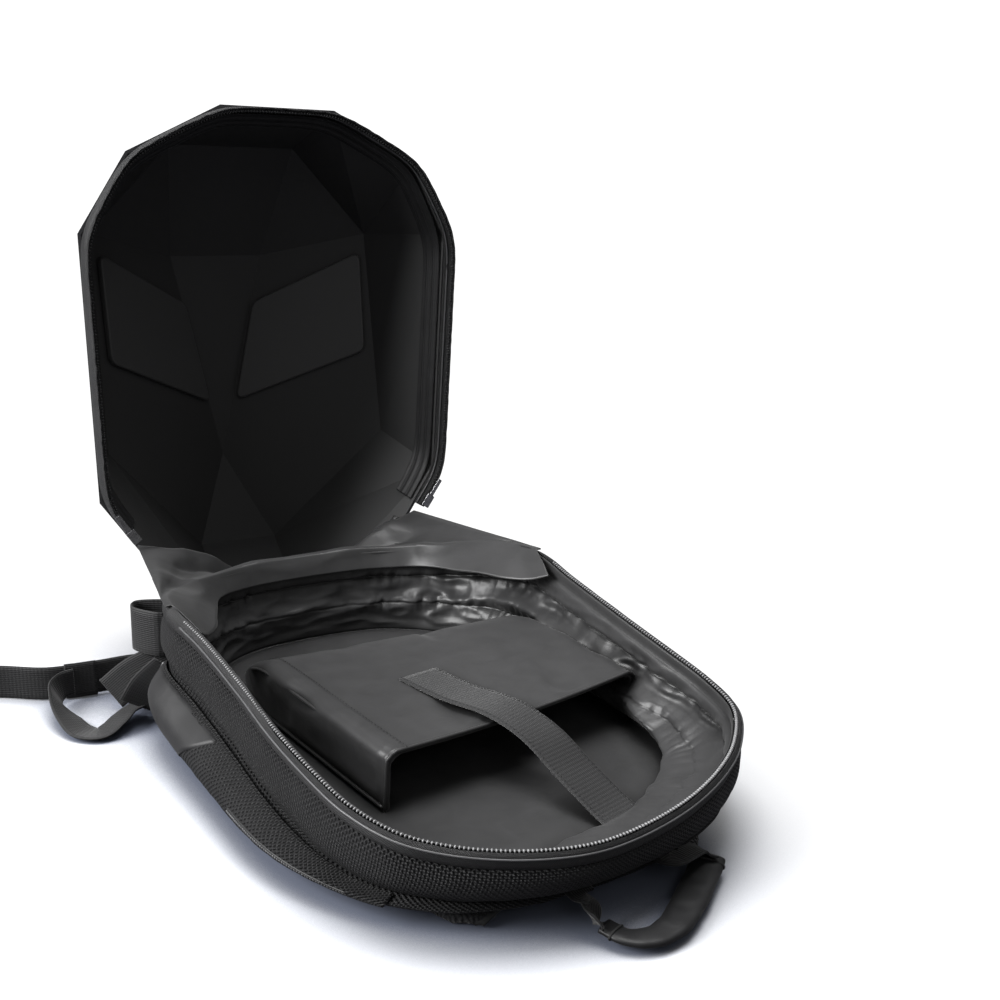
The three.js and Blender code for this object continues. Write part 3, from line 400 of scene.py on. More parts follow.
def woven(
    name, dark, light, thread, relief, roughness, sheen,
    diagonal=True, specular=0.3, contrast=0.3, breaks=1.0,
):
    """Cloth of crossing threads: thread is the weave's pitch and relief its height, in metres.

    contrast is how much darker the gaps are, and breaks how far the cross threads cut the ribs.
    """
    finish, tree, shader = new_finish(
        name, roughness, Sheen_Weight=sheen, Sheen_Roughness=0.4, Specular_IOR_Level=specular
    )
    u, v = cloth_lengths(tree)
    turn = 2 * math.pi / thread
    if diagonal:
        one = maths(tree, "MULTIPLY", maths(tree, "ADD", u, v), turn * 0.7071)
        two = maths(tree, "MULTIPLY", maths(tree, "SUBTRACT", u, v), turn * 0.7071)
    else:
        one, two = (maths(tree, "MULTIPLY", x, turn) for x in (u, v))
    crossing = maths(tree, "MULTIPLY_ADD", maths(tree, "SINE", two), breaks, 1 - breaks)
    weave = maths(tree, "MULTIPLY", maths(tree, "SINE", one), crossing)
    fibre, patches = speckle(tree, 2600.0, 3.0), speckle(tree, 22.0, 4.0)
    height = maths(tree, "MULTIPLY_ADD", fibre, 0.35, weave)
    bump = add(tree, "ShaderNodeBump", {"Height": height, "Strength": 0.9, "Distance": relief})
    share = maths(tree, "MULTIPLY_ADD", weave, contrast, maths(tree, "MULTIPLY_ADD", patches, 0.6, 0.2))
    rough = maths(tree, "MULTIPLY_ADD", patches, 0.2, roughness - 0.1)
    dress(tree, shader, tint(tree, share, dark, light), bump, rough)
    return finish


ballistic_cloth = woven(
    "ballistic_cloth", (0.0015, 0.0015, 0.0017), (0.02, 0.02, 0.021), 0.0027, 0.0012, 0.5, 0.02,
    contrast=0.5, specular=0.26, breaks=0.45,
)


def crease(down, middle, breadth, depth):
    """A groove that runs round the wall at one share of the way down."""
    return -depth * np.exp(-(((down - middle) / breadth) ** 2))


def base_skin():
    downs = np.concatenate(
        [np.linspace(0, 0.46, 16), np.linspace(0.475, 0.53, 8), np.linspace(0.55, 1, 18)]
    )
    s, down = np.meshgrid(all_round, downs)
    place = wall(s, down)
    front = np.exp(-(((s - 25) / 7) ** 2))
    folds = 1 - 2 * np.abs(wander(place, (60, 60, 9), 2))
    offset = (
        1.1 * wander(place, 42)
        + 0.5 * wander(place, (14, 14, 40), 1)
        + front * 1.5 * folds * np.clip((down - 0.45) * 6, 0, 1)
        + crease(down, 0.5, 0.02, 2.6)
        + crease(down, 0.0, 0.02, 0.8)
        + 0.5 * wander(place, (5, 5, 60), 3) * np.exp(-(((down - 0.5) / 0.07) ** 2))
    )
    hem = np.minimum(1, (1 - down) * 8)
    outside = wall(s, down, offset * np.maximum(hem, 0.15))[::-1]
    under = [foot_ring * (k, k, 0) + (0, 0, tub_bottom) for k in (0.02, 0.5, 0.9)]
    back_face = [inside(all_round, share, 3.0) for share in (0, 0.3, 0.6, 0.85, 0.97)]
    well = [back_face[-1] * (k, k, 0) + (0, 0, well_floor) for k in (0.96, 0.02)]
    grid = np.stack([*under, *outside, *back_face, *well])
    return face_out(surface("base_skin", grid, ring=True, caps=True))


fitted(base_skin(), ballistic_cloth, "ballistic_fabric", "outer_fabric")

# Smooth side patches.
# Each rear corner of the base has a facing of smooth coated cloth sewn over the ribbed nylon, with a thin
# shiny piping let into its rear seam.
def smooth_cloth(name, dark, light, roughness, wrinkle, sheen, specular=0.35, fold_shade_reach=0.0):
    """Fine coated or satin cloth with soft small creases.

    Given a reach in metres as its last argument, a fold whose other side lies nearer than that is darker:
    painted shade.
    """
    finish, tree, shader = new_finish(
        name, roughness, Sheen_Weight=sheen, Sheen_Roughness=0.35, Specular_IOR_Level=specular
    )
    crumple, threads = speckle(tree, 55.0, 5.0, 0.6), speckle(tree, 1800.0)
    height = maths(tree, "MULTIPLY_ADD", threads, 0.06, crumple)
    bump = add(tree, "ShaderNodeBump", {"Height": height, "Strength": 0.6, "Distance": wrinkle})
    shown = tint(tree, crumple, dark, light)
    if fold_shade_reach:
        # Painted shade: where other cloth lies close, the colour darkens towards near black.
        painted_fold_shade = add(tree, "ShaderNodeAmbientOcclusion", {"Distance": fold_shade_reach}, samples=8)
        unshaded_share = maths(tree, "POWER", painted_fold_shade.outputs["AO"], 2.0)
        shown = tint(tree, unshaded_share, (0.002, 0.002, 0.002), shown)
    dress(tree, shader, shown, bump, maths(tree, "MULTIPLY_ADD", threads, 0.16, roughness - 0.08))
    return finish


coated_cloth = smooth_cloth("coated_cloth", (0.008, 0.008, 0.0085), (0.024, 0.024, 0.025), 0.5, 0.0006, 0.1)
trim_cloth = smooth_cloth("trim_cloth", (0.05, 0.05, 0.052), (0.1, 0.1, 0.104), 0.38, 0.0002, 0.15, 0.5)


def other_side(s, side):
    """The same place on the other side of the bag."""
    return s if side < 0 else ring_steps - 2 - s


def rod_along(name, path, radius, sides=8, closed=False):
    """A round cord or piping along a path."""
    path = np.asarray(path, float)
    ahead = unit(np.roll(path, -1, 0) - np.roll(path, 1, 0) if closed else np.gradient(path, axis=0))
    side = np.cross(ahead, (0, 0, 1.0))
    upright = np.linalg.norm(side, axis=1) < 1e-3
    side[upright] = np.cross(ahead[upright], (0, 1.0, 0))
    side = unit(side)
    rise = np.cross(side, ahead)
    turn = np.arange(sides) / sides * 2 * math.pi
    radius = np.broadcast_to(radius, len(path))[:, None, None]
    rings = path[:, None] + radius * (
        np.cos(turn)[None, :, None] * side[:, None] + np.sin(turn)[None, :, None] * rise[:, None]
    )
    if closed:
        rings = np.concatenate([rings, rings[:1]])
    return surface(name, rings, ring=True, caps=not closed)


def side_bulge(s, down):
    """How far the side pocket stands out from the wall, s being counted on the left side."""
    length = smooth_step((s - 5.0) / 2.6) * smooth_step((20.6 - s) / 6)
    return 9.5 * length * np.sin(math.pi * np.clip((down - 0.52) / 0.47, 0, 1)) ** 0.7


def rear_seam(t):
    """The patch's rear seam from its top (0) to its foot (1): steps round the bag, share down the wall."""
    return 6.2 + 0.5 * (2 * t - 1) ** 2, 0.54 + 0.43 * t


def corner_patch(name, side):
    rows = []
    for t in np.linspace(0, 1, 22):
        start, down = rear_seam(t)
        s = np.linspace(start, 11.4 - 1.6 * t, 30)
        place = wall(other_side(s, side), down)
        stand_out = 2.4 + side_bulge(s, down) + 0.5 * wander(place, 30, 41)
        rows.append(wall(other_side(s, side), down, stand_out))
    patch = fitted(face_out(thickened(surface(name, rows), 0.8, 0)), coated_cloth, "smooth_wrap")


def corner_piping(name, side):
    s, down = rear_seam(np.linspace(0, 1, 24))
    path = wall(other_side(s, side), down, 2.6 + side_bulge(s, down))
    return fitted(face_out(rod_along(name, path, 1.2)), trim_cloth, "smooth_wrap")


for side, word in ((-1, "left"), (1, "right")):
    corner_patch(f"corner_patch_{word}", side)
    corner_piping(f"corner_piping_{word}", side)

# Zipped side pockets.
# A padded panel of the same ribbed nylon on each side wall, closed by a fine coil zip that
# runs along its lower half.
def plain_finish(name, scale, detail, dark, light, roughness, vary=0.0, **sockets):
    """A hard finish whose colour, and by vary its roughness, changes a little from grain to grain."""
    finish, tree, shader = new_finish(name, roughness, **sockets)
    grain = speckle(tree, scale, detail)
    tree.links.new(tint(tree, grain, dark, light), shader.inputs["Base Color"])
    tree.links.new(maths(tree, "MULTIPLY_ADD", grain, vary, roughness), shader.inputs["Roughness"])
    return finish


coil_plastic = plain_finish(
    "coil_plastic", 400.0, 2.0, (0.14, 0.14, 0.145), (0.3, 0.3, 0.305), 0.32, Specular_IOR_Level=0.6
)


def teeth(name, path, pitch, size, lean):
    """The coil of a zip: small rounded teeth along a path; lean is each tooth's direction across it."""
    path = np.asarray(path, float)
    lengths = np.concatenate([[0], np.cumsum(np.linalg.norm(np.diff(path, axis=0), axis=1))])
    count = int(lengths[-1] / pitch)
    marks = np.linspace(0, lengths[-1], count)
    middles = np.stack([np.interp(marks, lengths, path[:, a]) for a in range(3)], -1)
    across = unit(np.stack([np.interp(marks, lengths, lean[:, a]) for a in range(3)], -1))
    ahead = unit(np.gradient(middles, axis=0))
    rise = np.cross(across, ahead)
    ball = bmesh.new()
    bmesh.ops.create_icosphere(ball, subdivisions=1, radius=1)
    shape = np.array([v.co for v in ball.verts])
    faces = np.array([[v.index for v in f.verts] for f in ball.faces])
    ball.free()
    points = (
        middles[:, None]
        + shape[None, :, :1] * size[0] / 2 * across[:, None]
        + shape[None, :, 1:2] * size[1] / 2 * ahead[:, None]
        + shape[None, :, 2:] * size[2] / 2 * rise[:, None]
    )
    numbers = faces[None] + (np.arange(count) * len(shape))[:, None, None]
    return face_out(placed(name, smooth_mesh(name, points, numbers.reshape(-1, 3).tolist())))


def zip_down(steps):
    """The share of the way down the wall at which the pocket's zip runs."""
    return 0.77 - 0.005 * (steps - 14)


def side_pocket(name, side):
    steps = np.linspace(5.3, 20.4, 121)
    rows = []
    for t in np.linspace(0, 1, 30):
        down = 0.53 + 0.45 * t
        place = wall(other_side(steps, side), down)
        soft = 0.5 * wander(place, (9, 9, 30), 4) + 0.9 * wander(place, 38, 5)
        seam = -1.6 * np.exp(-(((down - zip_down(steps)) / 0.02) ** 2)) * smooth_step((steps - 12) / 2)
        swell = side_bulge(steps, down)
        stand_out = 0.7 + swell + (soft + seam) * np.clip(swell / 4, 0, 1)
        rows.append(wall(other_side(steps, side), down, stand_out))
    panel = thickened(surface(name, rows), 1.2)
    fitted(face_out(panel), ballistic_cloth, "ballistic_fabric", name.replace("panel", "pocket"))


for side, word in ((-1, "left"), (1, "right")):
    side_pocket(f"side_panel_{word}", side)
    steps = np.linspace(13.4, 19.0, 70)
    down = zip_down(steps)
    zip_path = wall(other_side(steps, side), down, 1.8 + side_bulge(steps, down))
    lean = at_step(outward, other_side(steps, side)) * 0.4 + (0, 0, 1.0)
    coil = teeth(f"side_pocket_coil_{word}", zip_path, 2.0, (2.2, 1.2, 1.3), lean)
    fitted(coil, coil_plastic, "zip_coil")
    edge = wall(other_side(steps, side), down - 0.035, 1.6 + side_bulge(steps, down - 0.035))
    fitted(face_out(rod_along(f"side_pocket_edge_{word}", edge, 0.8)), coated_cloth, "smooth_wrap")

# Back panel and shoulder straps.
# Foam pads covered with open spacer mesh, lying flat under the base where the wearer's back would be.
mesh_cloth = woven("spacer_mesh", (0.006, 0.006, 0.007), (0.03, 0.03, 0.032), 0.004, 0.0009, 0.8, 0.2)


def solid_copy(name, node, whole_faces=False):
    """A copy of the CAD piece with its points joined up and, if asked, its flat faces made whole."""
    made = bmesh.new()
    made.from_mesh(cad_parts[node].data)
    bmesh.ops.remove_doubles(made, verts=made.verts, dist=1e-5)
    if whole_faces:
        bmesh.ops.dissolve_limit(made, angle_limit=math.radians(1), verts=made.verts, edges=made.edges)
    mesh = bpy.data.meshes.new(name)
    made.to_mesh(mesh)
    made.free()
    return placed(name, mesh)


def under_pad(name, node):
    """A rounded foam pad in the place of the plain one, its cover swelling between the seams."""
    pad = solid_copy(name, node)
    grain = pad.modifiers.new("grain", "REMESH")
    grain.mode, grain.voxel_size = "VOXEL", 0.004
    soft = pad.modifiers.new("soft", "SMOOTH")
    soft.factor, soft.iterations = 0.5, 6
    applied(pad)
    mesh = pad.data
    spots = np.array([v.co for v in mesh.vertices]) * 1000
    low, high = spots.min(0), spots.max(0)
    spots[:, 2] += np.where(np.abs(spots[:, 2] - 5) > 2, 0.35 * wander(spots, 22, 6), 0)
    spots[:, 2] = np.clip((spots[:, 2] - low[2]) / (high[2] - low[2]), 0, 1) * 9.4 + 0.1
    mesh.vertices.foreach_set("co", (spots / 1000).ravel())
    mesh.polygons.foreach_set("use_smooth", [True] * len(mesh.polygons))
    layer = mesh.uv_layers.new(name="cloth")
    order = np.zeros(len(mesh.loops), int)
    mesh.loops.foreach_get("vertex_index", order)
    layer.data.foreach_set("uv", (spots[order][:, :2] / 1000).ravel())
    fitted(pad, mesh_cloth, "pad_mesh", node)


under_pad("back_panel_pad", "back_pad")
for word in ("left", "right"):
    under_pad(f"strap_pad_{word}", f"shoulder_strap_{word}")

# Lining of the well.
# Quilted satin over thin foam: the side walls are sewn in rolls that run with the rim and pucker at their
# seams, and the floor is one smooth panel with a sewn edge.
# The satin paints shade into its folds wherever other cloth lies within 2 cm.
satin = smooth_cloth("satin", (0.028, 0.028, 0.0285), (0.048, 0.048, 0.049), 0.38, 0.0005, 0.1, 0.4, 0.02)
upper_seam, lower_seam = 0.24, 0.6  # shares of the way down the wall


def lining_skin():
    shares = np.concatenate([np.linspace(0, 0.5, 26), np.linspace(0.515, 1, 30)])
    s, share = np.meshgrid(all_round, shares)
    place = inside(s, share, 4.4)
    # How far the padding stands in from the wall: most at the handle's end and along the right side.
    stations = [0, 8, 14, 20, 24, 28, 33, 36, 39, 46, 50, 56]
    plump = np.interp(s, stations, [0, 4, 5, 8, 20, 30, 31, 24, 17, 13, 2, 0])
    plump = plump * smooth_step((share - 0.3) / 0.45) * (1 - 0.75 * smooth_step((share - 0.8) / 0.2))
    seams = np.minimum(np.abs(share - upper_seam), np.abs(share - lower_seam))
    rolls = ((0, upper_seam, 4.2), (upper_seam, lower_seam, 5.0), (lower_seam, 1, 5.5))
    puffed = sum(
        np.abs(np.sin(math.pi * np.clip((share - top) / (foot - top), 0, 1))) ** 0.6 * fill
        for top, foot, fill in rolls
    )
    pucker = (1 - 2.4 * np.abs(wander(place, (8, 8, 60), 7))) * np.exp(-((seams / 0.13) ** 2)) * 2.2
    sag = 2.2 * (1 - 2.4 * np.abs(wander(place, (30, 30, 12), 8))) + 1.2 * wander(place, (16, 16, 22), 9)
    limp = np.clip(share * 5, 0, 1) * np.clip((1.02 - share) * 5, 0, 1)
    swell = puffed + (pucker + sag) * limp
    grid = inside(s, share, 4.4 + np.maximum(swell, -0.2) + plump)
    collar = [rim_ring - outward * 5.5 - (0, 0, drop) for drop in (1.4, 3, 6)]
    last = grid[-1]
    floor_rows = []
    for k in np.concatenate([[0.985, 0.97, 0.95], np.linspace(0.92, 0.03, 26)]):
        row = last * (k, k, 0) + (0, 0, well_floor + 2.2)
        dip = 0.9 * wander(row, (70, 110, 50), 10) + 0.5 * wander(row, (25, 60, 50), 11)
        row[:, 2] += np.minimum(dip, 0.25) + (0.9 if 0.94 < k < 0.98 else 0.0)
        floor_rows.append(row)
    grid = np.concatenate([np.stack(collar), grid, np.stack(floor_rows)])
    skin = surface("lining_skin", grid, ring=True, caps=False)
    return thickened(skin, 0.9, 0)


lining = fitted(face_out(lining_skin()), satin, "satin_lining", "lining")

# Rim tape and zip of the base.
# A folded tape stands round the rim. From the widest places to the handle it carries one half of the main
# zip: a moulded coil on its inner edge, with a thin piping outside it.
tape_cloth = woven(
    "rim_tape", (0.005, 0.005, 0.0053), (0.02, 0.02, 0.021), 0.0011, 0.00018, 0.45, 0.06,
    diagonal=False, specular=0.35,
)


def rim_tape():
    """The tape's section, out from the rim and down from it, goes round the bag."""
    profile = [
        (-0.8, 0.2), (0.4, 1.8), (1.1, 4.4), (1.1, 7.4), (0.2, 10.3),
        (-1.2, 10.3), (-1.4, 6), (-1.6, 3), (-1.6, 1.0),
    ]
    sway = 0.35 * wander(rim_ring, 18, 12)
    # Beside the hinge a flap of the tape lies over each end of the zip.
    left_flap = smooth_step((all_round - 3.5) / 1.5) * smooth_step((14.5 - all_round) / 2.5)
    right_flap = smooth_step((all_round - 45) / 1.5) * smooth_step((51.5 - all_round) / 1.5)
    rings = []
    for out, drop in profile:
        fold = (left_flap + right_flap) * (drop < 1.2)
        ring = rim_ring + outward * (out + sway - 3.6 * fold)[:, None]
        ring[:, 2] -= drop - 1.5 * fold
        rings.append(ring)
    rings.append(rings[0])
    return face_out(surface("rim_tape", np.stack(rings), ring=True))


fitted(rim_tape(), tape_cloth, "webbing", "base_zip_tape")
zip_round = np.linspace(9.0, 45.0, 500)
zip_line = at_step(rim_ring, zip_round) - at_step(outward, zip_round) * 3.1 - (0, 0, 0.3)
main_coil = teeth("base_coil", zip_line, 2.5, (3.0, 1.5, 2.2), at_step(outward, zip_round))
fitted(main_coil, coil_plastic, "zip_coil", "base_zip_chain")
seam_line = at_step(rim_ring, zip_round) + at_step(outward, zip_round) * 1.3 - (0, 0, 3.4)
fitted(face_out(rod_along("rim_piping", seam_line, 0.6)), trim_cloth, "smooth_wrap")

# Laptop sleeve.
# A padded box of the lining satin on the well's floor, open towards the handle. Its top sags between the
# sides, and its left edge is bound and top-stitched.
sleeve_floor, sleeve_height = well_floor + 2.6, 42
# Rows from the mouth to the hinge's end, all as shares: left, right, along, skew, height, sag.
sleeve_rows = np.array(
    [
        [-0.48, 0.86, -0.17, 0.08, 1, 0.1],
        [-0.5, 0.86, -0.1, 0.06, 1, 0.12],
        [-0.53, 0.85, 0.02, 0.03, 1, 0.14],
        [-0.56, 0.85, 0.14, 0, 1, 0.16],
        [-0.57, 0.8, 0.22, 0, 0.92, 0.1],
        [-0.56, 0.74, 0.28, 0, 0.6, 0.02],
        [-0.54, 0.68, 0.32, 0, 0.2, 0],
    ]
)
thread_cotton = plain_finish(
    "seam_thread", 900.0, 2.0, (0.006, 0.006, 0.006), (0.03, 0.03, 0.03), 0.7, Specular_IOR_Level=0.3
)


def sleeve_section(row, inset):
    """One arch of the sleeve: up the left wall, over the sagging top and down the right."""
    left, right, y, skew, height, sag = row
    low, high = left * half_width + inset, right * half_width - inset
    top = sleeve_floor + max(sleeve_height * height - inset, 1.75)
    t = np.linspace(0, 1, 60)
    dip = np.sin(math.pi * t) * sag * sleeve_height
    crown = np.c_[low + (high - low) * t, (y + skew * t) * bag_length, top - dip]
    corner = 9 * height
    edge = np.minimum(t, 1 - t) * (high - low)
    crown[:, 2] -= np.maximum(0, corner - edge) ** 2 / (2 * corner) * 1.1
    up = np.linspace(0, 1, 14)[:-1, None]
    left_wall = crown[0] * up + np.r_[low - 0.6, crown[0, 1], sleeve_floor] * (1 - up)
    right_wall = crown[-1] * up + np.r_[high + 0.6, crown[-1, 1], sleeve_floor] * (1 - up)
    return np.vstack([left_wall, crown, right_wall[::-1]])


def sleeve_grid(inset, rows=70):
    """The sleeve's arches, inset by the thickness of its padding."""
    dense = np.stack([sleeve_section(row, inset) for row in sleeve_rows])
    flat = through(dense.reshape(len(dense), -1), rows)
    return flat.reshape(rows, -1, 3)


def sleeve_skin():
    outer, inner = sleeve_grid(0.0), sleeve_grid(3.5)
    puff = 3.2 * (1 - 2.6 * np.abs(wander(outer, (40, 60, 26), 13))) + 1.8 * wander(outer, (18, 30, 14), 14)
    middle = outer.mean(1, keepdims=True) * (1, 0, 0) + outer * (0, 1, 0) + (0, 0, sleeve_floor)
    away = unit(outer - middle)
    hold = np.ones(outer.shape[:2])
    hold[:3] *= 0.2
    hold[:, :3] *= 0.2
    hold[:, -3:] *= 0.2
    shift = away * (np.minimum(puff, 1.2) * hold)[..., None]
    outer, inner = outer + shift, inner + shift
    loops = np.concatenate([outer, inner[:, ::-1]], 1)
    return face_out(surface("sleeve_skin", loops, ring=True, caps=True))


sleeve = fitted(sleeve_skin(), satin, "satin_lining", "laptop_sleeve")


def stitches(name, path, pitch=3.4, length=2.4, thickness=0.5):
    """A run of top-stitching: short thread ends along a path."""
    side = np.cross(np.gradient(path, axis=0), (0.3, 0.2, 1.0))
    piece = teeth(name, path, pitch, (thickness, length, thickness), side)
    return fitted(piece, thread_cotton, "webbing")


outer = sleeve_grid(0.0)
bound_edge = outer[:, 12] + (1.0, 0, 0.9)
fitted(face_out(rod_along("sleeve_binding", bound_edge[:62], 1.1)), satin, "satin_lining")
stitches("sleeve_stitching", outer[:60, 17] + (0, 0, 1.2), 3.6, 2.4, 0.6)
mouth_edge = outer[0] + (0, -0.4, -0.4)
fitted(face_out(rod_along("sleeve_mouth_hem", mouth_edge, 1.3)), satin, "satin_lining")
foot_hem = outer[:64, 1] + (-1.6, 0, 0.4)
fitted(face_out(rod_along("sleeve_foot_hem", foot_hem, 1.2)), satin, "satin_lining")

# Webbing at the left rear and the strap over the sleeve.
# Woven polypropylene tape: the free tail with its sewn keeper, a loop on the floor, two short bands down
# to the shoulder straps, and an upright loop on the wall.
strap_root = np.array([-0.91 * half_width, bag_length * (0.5 - 0.178), 0])
handle_root = np.array([0, bag_length * -0.5, 0])


def strap_webbing():
    """Ribs along the band, crossed by finer rows."""
    finish, tree, shader = new_finish(
        "strap_webbing", 0.62, Sheen_Weight=0.2, Sheen_Roughness=0.4, Specular_IOR_Level=0.3
    )
    u, v = cloth_lengths(tree)
    ribs = maths(tree, "SINE", maths(tree, "MULTIPLY", u, 2 * math.pi / 0.0016))
    rows = maths(tree, "SINE", maths(tree, "MULTIPLY", v, 2 * math.pi / 0.0030))
    weave = maths(tree, "MULTIPLY_ADD", rows, 0.4, ribs)
    fibre, worn = speckle(tree, 2200.0), speckle(tree, 30.0, 3.0)
    height = maths(tree, "MULTIPLY_ADD", fibre, 0.5, weave)
    bump = add(tree, "ShaderNodeBump", {"Height": height, "Strength": 0.8, "Distance": 0.00014})
    share = maths(tree, "MULTIPLY_ADD", weave, 0.08, maths(tree, "MULTIPLY_ADD", worn, 0.6, 0.2))
    colour = tint(tree, share, (0.004, 0.004, 0.0044), (0.026, 0.026, 0.027))
    dress(tree, shader, colour, bump, maths(tree, "MULTIPLY_ADD", worn, 0.2, 0.52))
    return finish


webbing = strap_webbing()
web, wide_web, web_thickness = 28, 36, 1.6


def from_root(root, rows):
    """Rows of a band's path that are given from where its hardware is sewn on."""
    return [(root[0] + x, root[1] + y, z, tilt) for x, y, z, tilt in rows]


def from_wall(step, z, tilt, start):
    """Where a band leaves the wall square: two rows, start and 6 mm more off its face."""
    return [(*wall(step, share_down(step, z), start + more), tilt) for more in (0, 6)]


def band(path, width, steps):
    """Rows of a flat band's section along a smooth path; tilt turns its width from level to upright."""
    rows = np.array(path, float)
    middle = through(rows[:, :3], steps)
    tilt = np.radians(np.interp(np.linspace(0, len(rows) - 1, steps), np.arange(len(rows)), rows[:, 3]))
    ahead = unit(np.gradient(middle, axis=0))
    level = unit(np.cross(ahead, (0, 0, 1.0)))
    rise = np.cross(level, ahead)
    across = level * np.cos(tilt)[:, None] + rise * np.sin(tilt)[:, None]
    face = np.cross(across, ahead)
    half, thin = width / 2, web_thickness / 2
    shape = [(a * half, -thin) for a in np.linspace(-0.96, 0.96, 9)] + [(half, 0)]
    shape += [(a * half, thin) for a in np.linspace(0.96, -0.96, 9)] + [(-half, 0)]
    rings = np.stack([middle + across * a + face * n for a, n in shape], 1)
    return rings, middle, across, face


def strap(name, node, path, width, steps):
    rings = band(path, width, steps)[0]
    fitted(face_out(surface(name, rings, ring=True, caps=True)), webbing, "webbing", node)


tail_path = from_root(
    strap_root,
    [
        (-151, 117, 14.4, 90), (-104, 97, 14.4, 90), (-70, 77, 14.4, 90),
        (-34, 72, 15.5, 90), (-5, 68, 17, 90),
    ],
) + from_wall(3.6, 20, 90, 5.4)[::-1]
keeper_path = from_root(strap_root, [(-59, 72.5, 15.6, 90), (-50, 71, 15.7, 90), (-35, 69.5, 15.9, 90)])
floor_loop_path = from_root(
    strap_root,
    [
        (-53, 69.6, 15.6, 90), (-63, 66, 15.4, 84), (-70, 57, 14, 70), (-71, 45, 12, 52), (-69, 23, 8, 22),
        (-63, 5, 3, 4), (-52, -3, 2.6, 6), (-41, 1, 6, 16), (-29, 11, 9, 22), (-14.2, 20.6, 9.5, 14),
    ],
)
upper_path = [(*wall(5.4, share_down(5.4, 50), -0.4), 85), (-170, 170, 33, 85), (-187, 182, 14.6, 85)]
lower_path = [(*wall(6.6, share_down(6.6, 50), -0.4), 118), (-168, 149, 29, 118), (-175, 156, 13.2, 118)]
side_loop_path = (
    from_wall(5.7, 69, 90, 1.2)
    + from_root(strap_root, [(-14.5, 30, 69, 90), (-9, 40, 69, 90)])
    + from_wall(4.6, 69, 90, 1.2)[::-1]
)
loop_tail_path = from_wall(3.2, 50, 0, 1.2) + from_root(strap_root, [(24, 61, 74, 0), (15, 65, 98, 0)])
retention_path = [
    (50, -164, sleeve_floor + 0.6, 0), (46, -146, sleeve_floor + 6, 0), (38, -116, sleeve_floor + 20, 0),
    (30, -86, sleeve_floor + 35, 0), (20, -57, sleeve_floor + 42.7, 0), (8, -14, sleeve_floor + 39.9, 0),
    (0, 30, sleeve_floor + 38.2, 0),
]
strap("tail_band", "strap_tail", tail_path, web, 80)
strap("keeper_band", "strap_keeper", keeper_path, web + 2, 16)
strap("floor_loop_band", "floor_loop", floor_loop_path, web * 0.8, 90)
strap("upper_anchor_band", "upper_anchor", upper_path, web, 40)
strap("lower_anchor_band", "lower_anchor", lower_path, web, 40)
strap("side_loop_band", "side_loop", side_loop_path, wide_web, 70)
strap("loop_tail_band", "loop_tail", loop_tail_path, web, 30)
strap("retention_band", "retention_strap", retention_path, wide_web, 70)


def edge_stitching(name, path, width, first, last, across_at, steps=60):
    """Stitches on a band's upper face between two shares of its length; across_at is 1 at its edge."""
    middle, across, face = band(path, width, steps)[1:]
    rows = slice(int(first * (steps - 1)), int(last * (steps - 1)) + 1)
    line = middle[rows] + across[rows] * (across_at * width / 2) + face[rows] * 0.95
    return stitches(name, line)


edge_stitching("retention_stitching_left", retention_path, wide_web, 0.0, 1.0, -0.86)
edge_stitching("retention_stitching_right", retention_path, wide_web, 0.0, 1.0, 0.86)
edge_stitching("anchor_stitching", upper_path, web, 0.55, 0.95, 0.7)

# Carry handle.
# Two ribbed tails sewn into the wall's crease, and between them a soft grip: the webbing folded to a flat
# tube inside a smooth wrap, stitched across at each end.
wrap_cloth = smooth_cloth("wrap_cloth", (0.005, 0.005, 0.0055), (0.018, 0.018, 0.019), 0.45, 0.0007, 0.08)
left_tail_path = from_wall(26.7, 19, 0, 0.5) + from_root(
    handle_root, [(-22, 10, 16, 35), (-26, 1, 11, 60), (-22, -5, 8, 20)]
)
right_tail_path = from_wall(29.6, 22, 0, 1.5) + from_root(
    handle_root, [(70, 24, 17, 12), (79, 20.5, 11.5, 25)]
)
grip_path = handle_root + np.array(
    [
        (-22, -4, 8), (-16, -17, 7), (-2, -23.5, 6.4), (14, -21, 6.4),
        (34, -10, 6.6), (54, 3, 7.5), (69, 13.5, 8.6), (78, 20, 10),
    ]
)
strap("handle_tail_band_left", "handle_tail_left", left_tail_path, 18, 50)
strap("handle_tail_band_right", "handle_tail_right", right_tail_path, 22, 50)


def handle_grip():
    """A flattened tube, thinner at its left end; also gives its middle line and the two ways across it."""
    steps, sides = 90, 28
    middle = through(grip_path, steps)
    ahead = unit(np.gradient(middle, axis=0))
    level = unit(np.cross(ahead, (0, 0, 1.0)))
    rise = np.cross(level, ahead)
    turn = np.arange(sides) / sides * 2 * math.pi
    t = np.linspace(0, 1, steps)[:, None]
    girth = 0.66 + 0.34 * smooth_step(t / 0.7)
    wide = np.sign(np.cos(turn)) * np.abs(np.cos(turn)) ** 0.7 * 10.5
    thick = np.sign(np.sin(turn)) * np.abs(np.sin(turn)) ** 0.7 * 3.5
    spokes = level[:, None] * wide[None, :, None] + rise[:, None] * thick[None, :, None]
    rings = middle[:, None] + spokes * girth[..., None]
    folds = 0.5 * wander(rings, (9, 9, 6), 15) - 0.5 * np.abs(wander(rings, (16, 16, 8), 16))
    rings = rings + unit(rings - middle[:, None]) * folds[..., None]
    return face_out(surface("handle_wrap", rings, ring=True, caps=True)), middle, level, rise


grip, grip_middle, grip_level, grip_rise = handle_grip()
fitted(grip, wrap_cloth, "smooth_wrap", "handle_grip")
turn = np.linspace(0, 2 * math.pi, 40)[:-1, None]
for number, row, wide, thick in ((1, 7, 7.2, 2.5), (2, 82, 10.7, 3.6)):
    seam = grip_middle[row] + np.cos(turn) * grip_level[row] * wide + np.sin(turn) * grip_rise[row] * thick
    hoop = rod_along(f"handle_seam_{number}", seam, 0.8, closed=True)
    fitted(face_out(hoop), thread_cotton, "webbing")

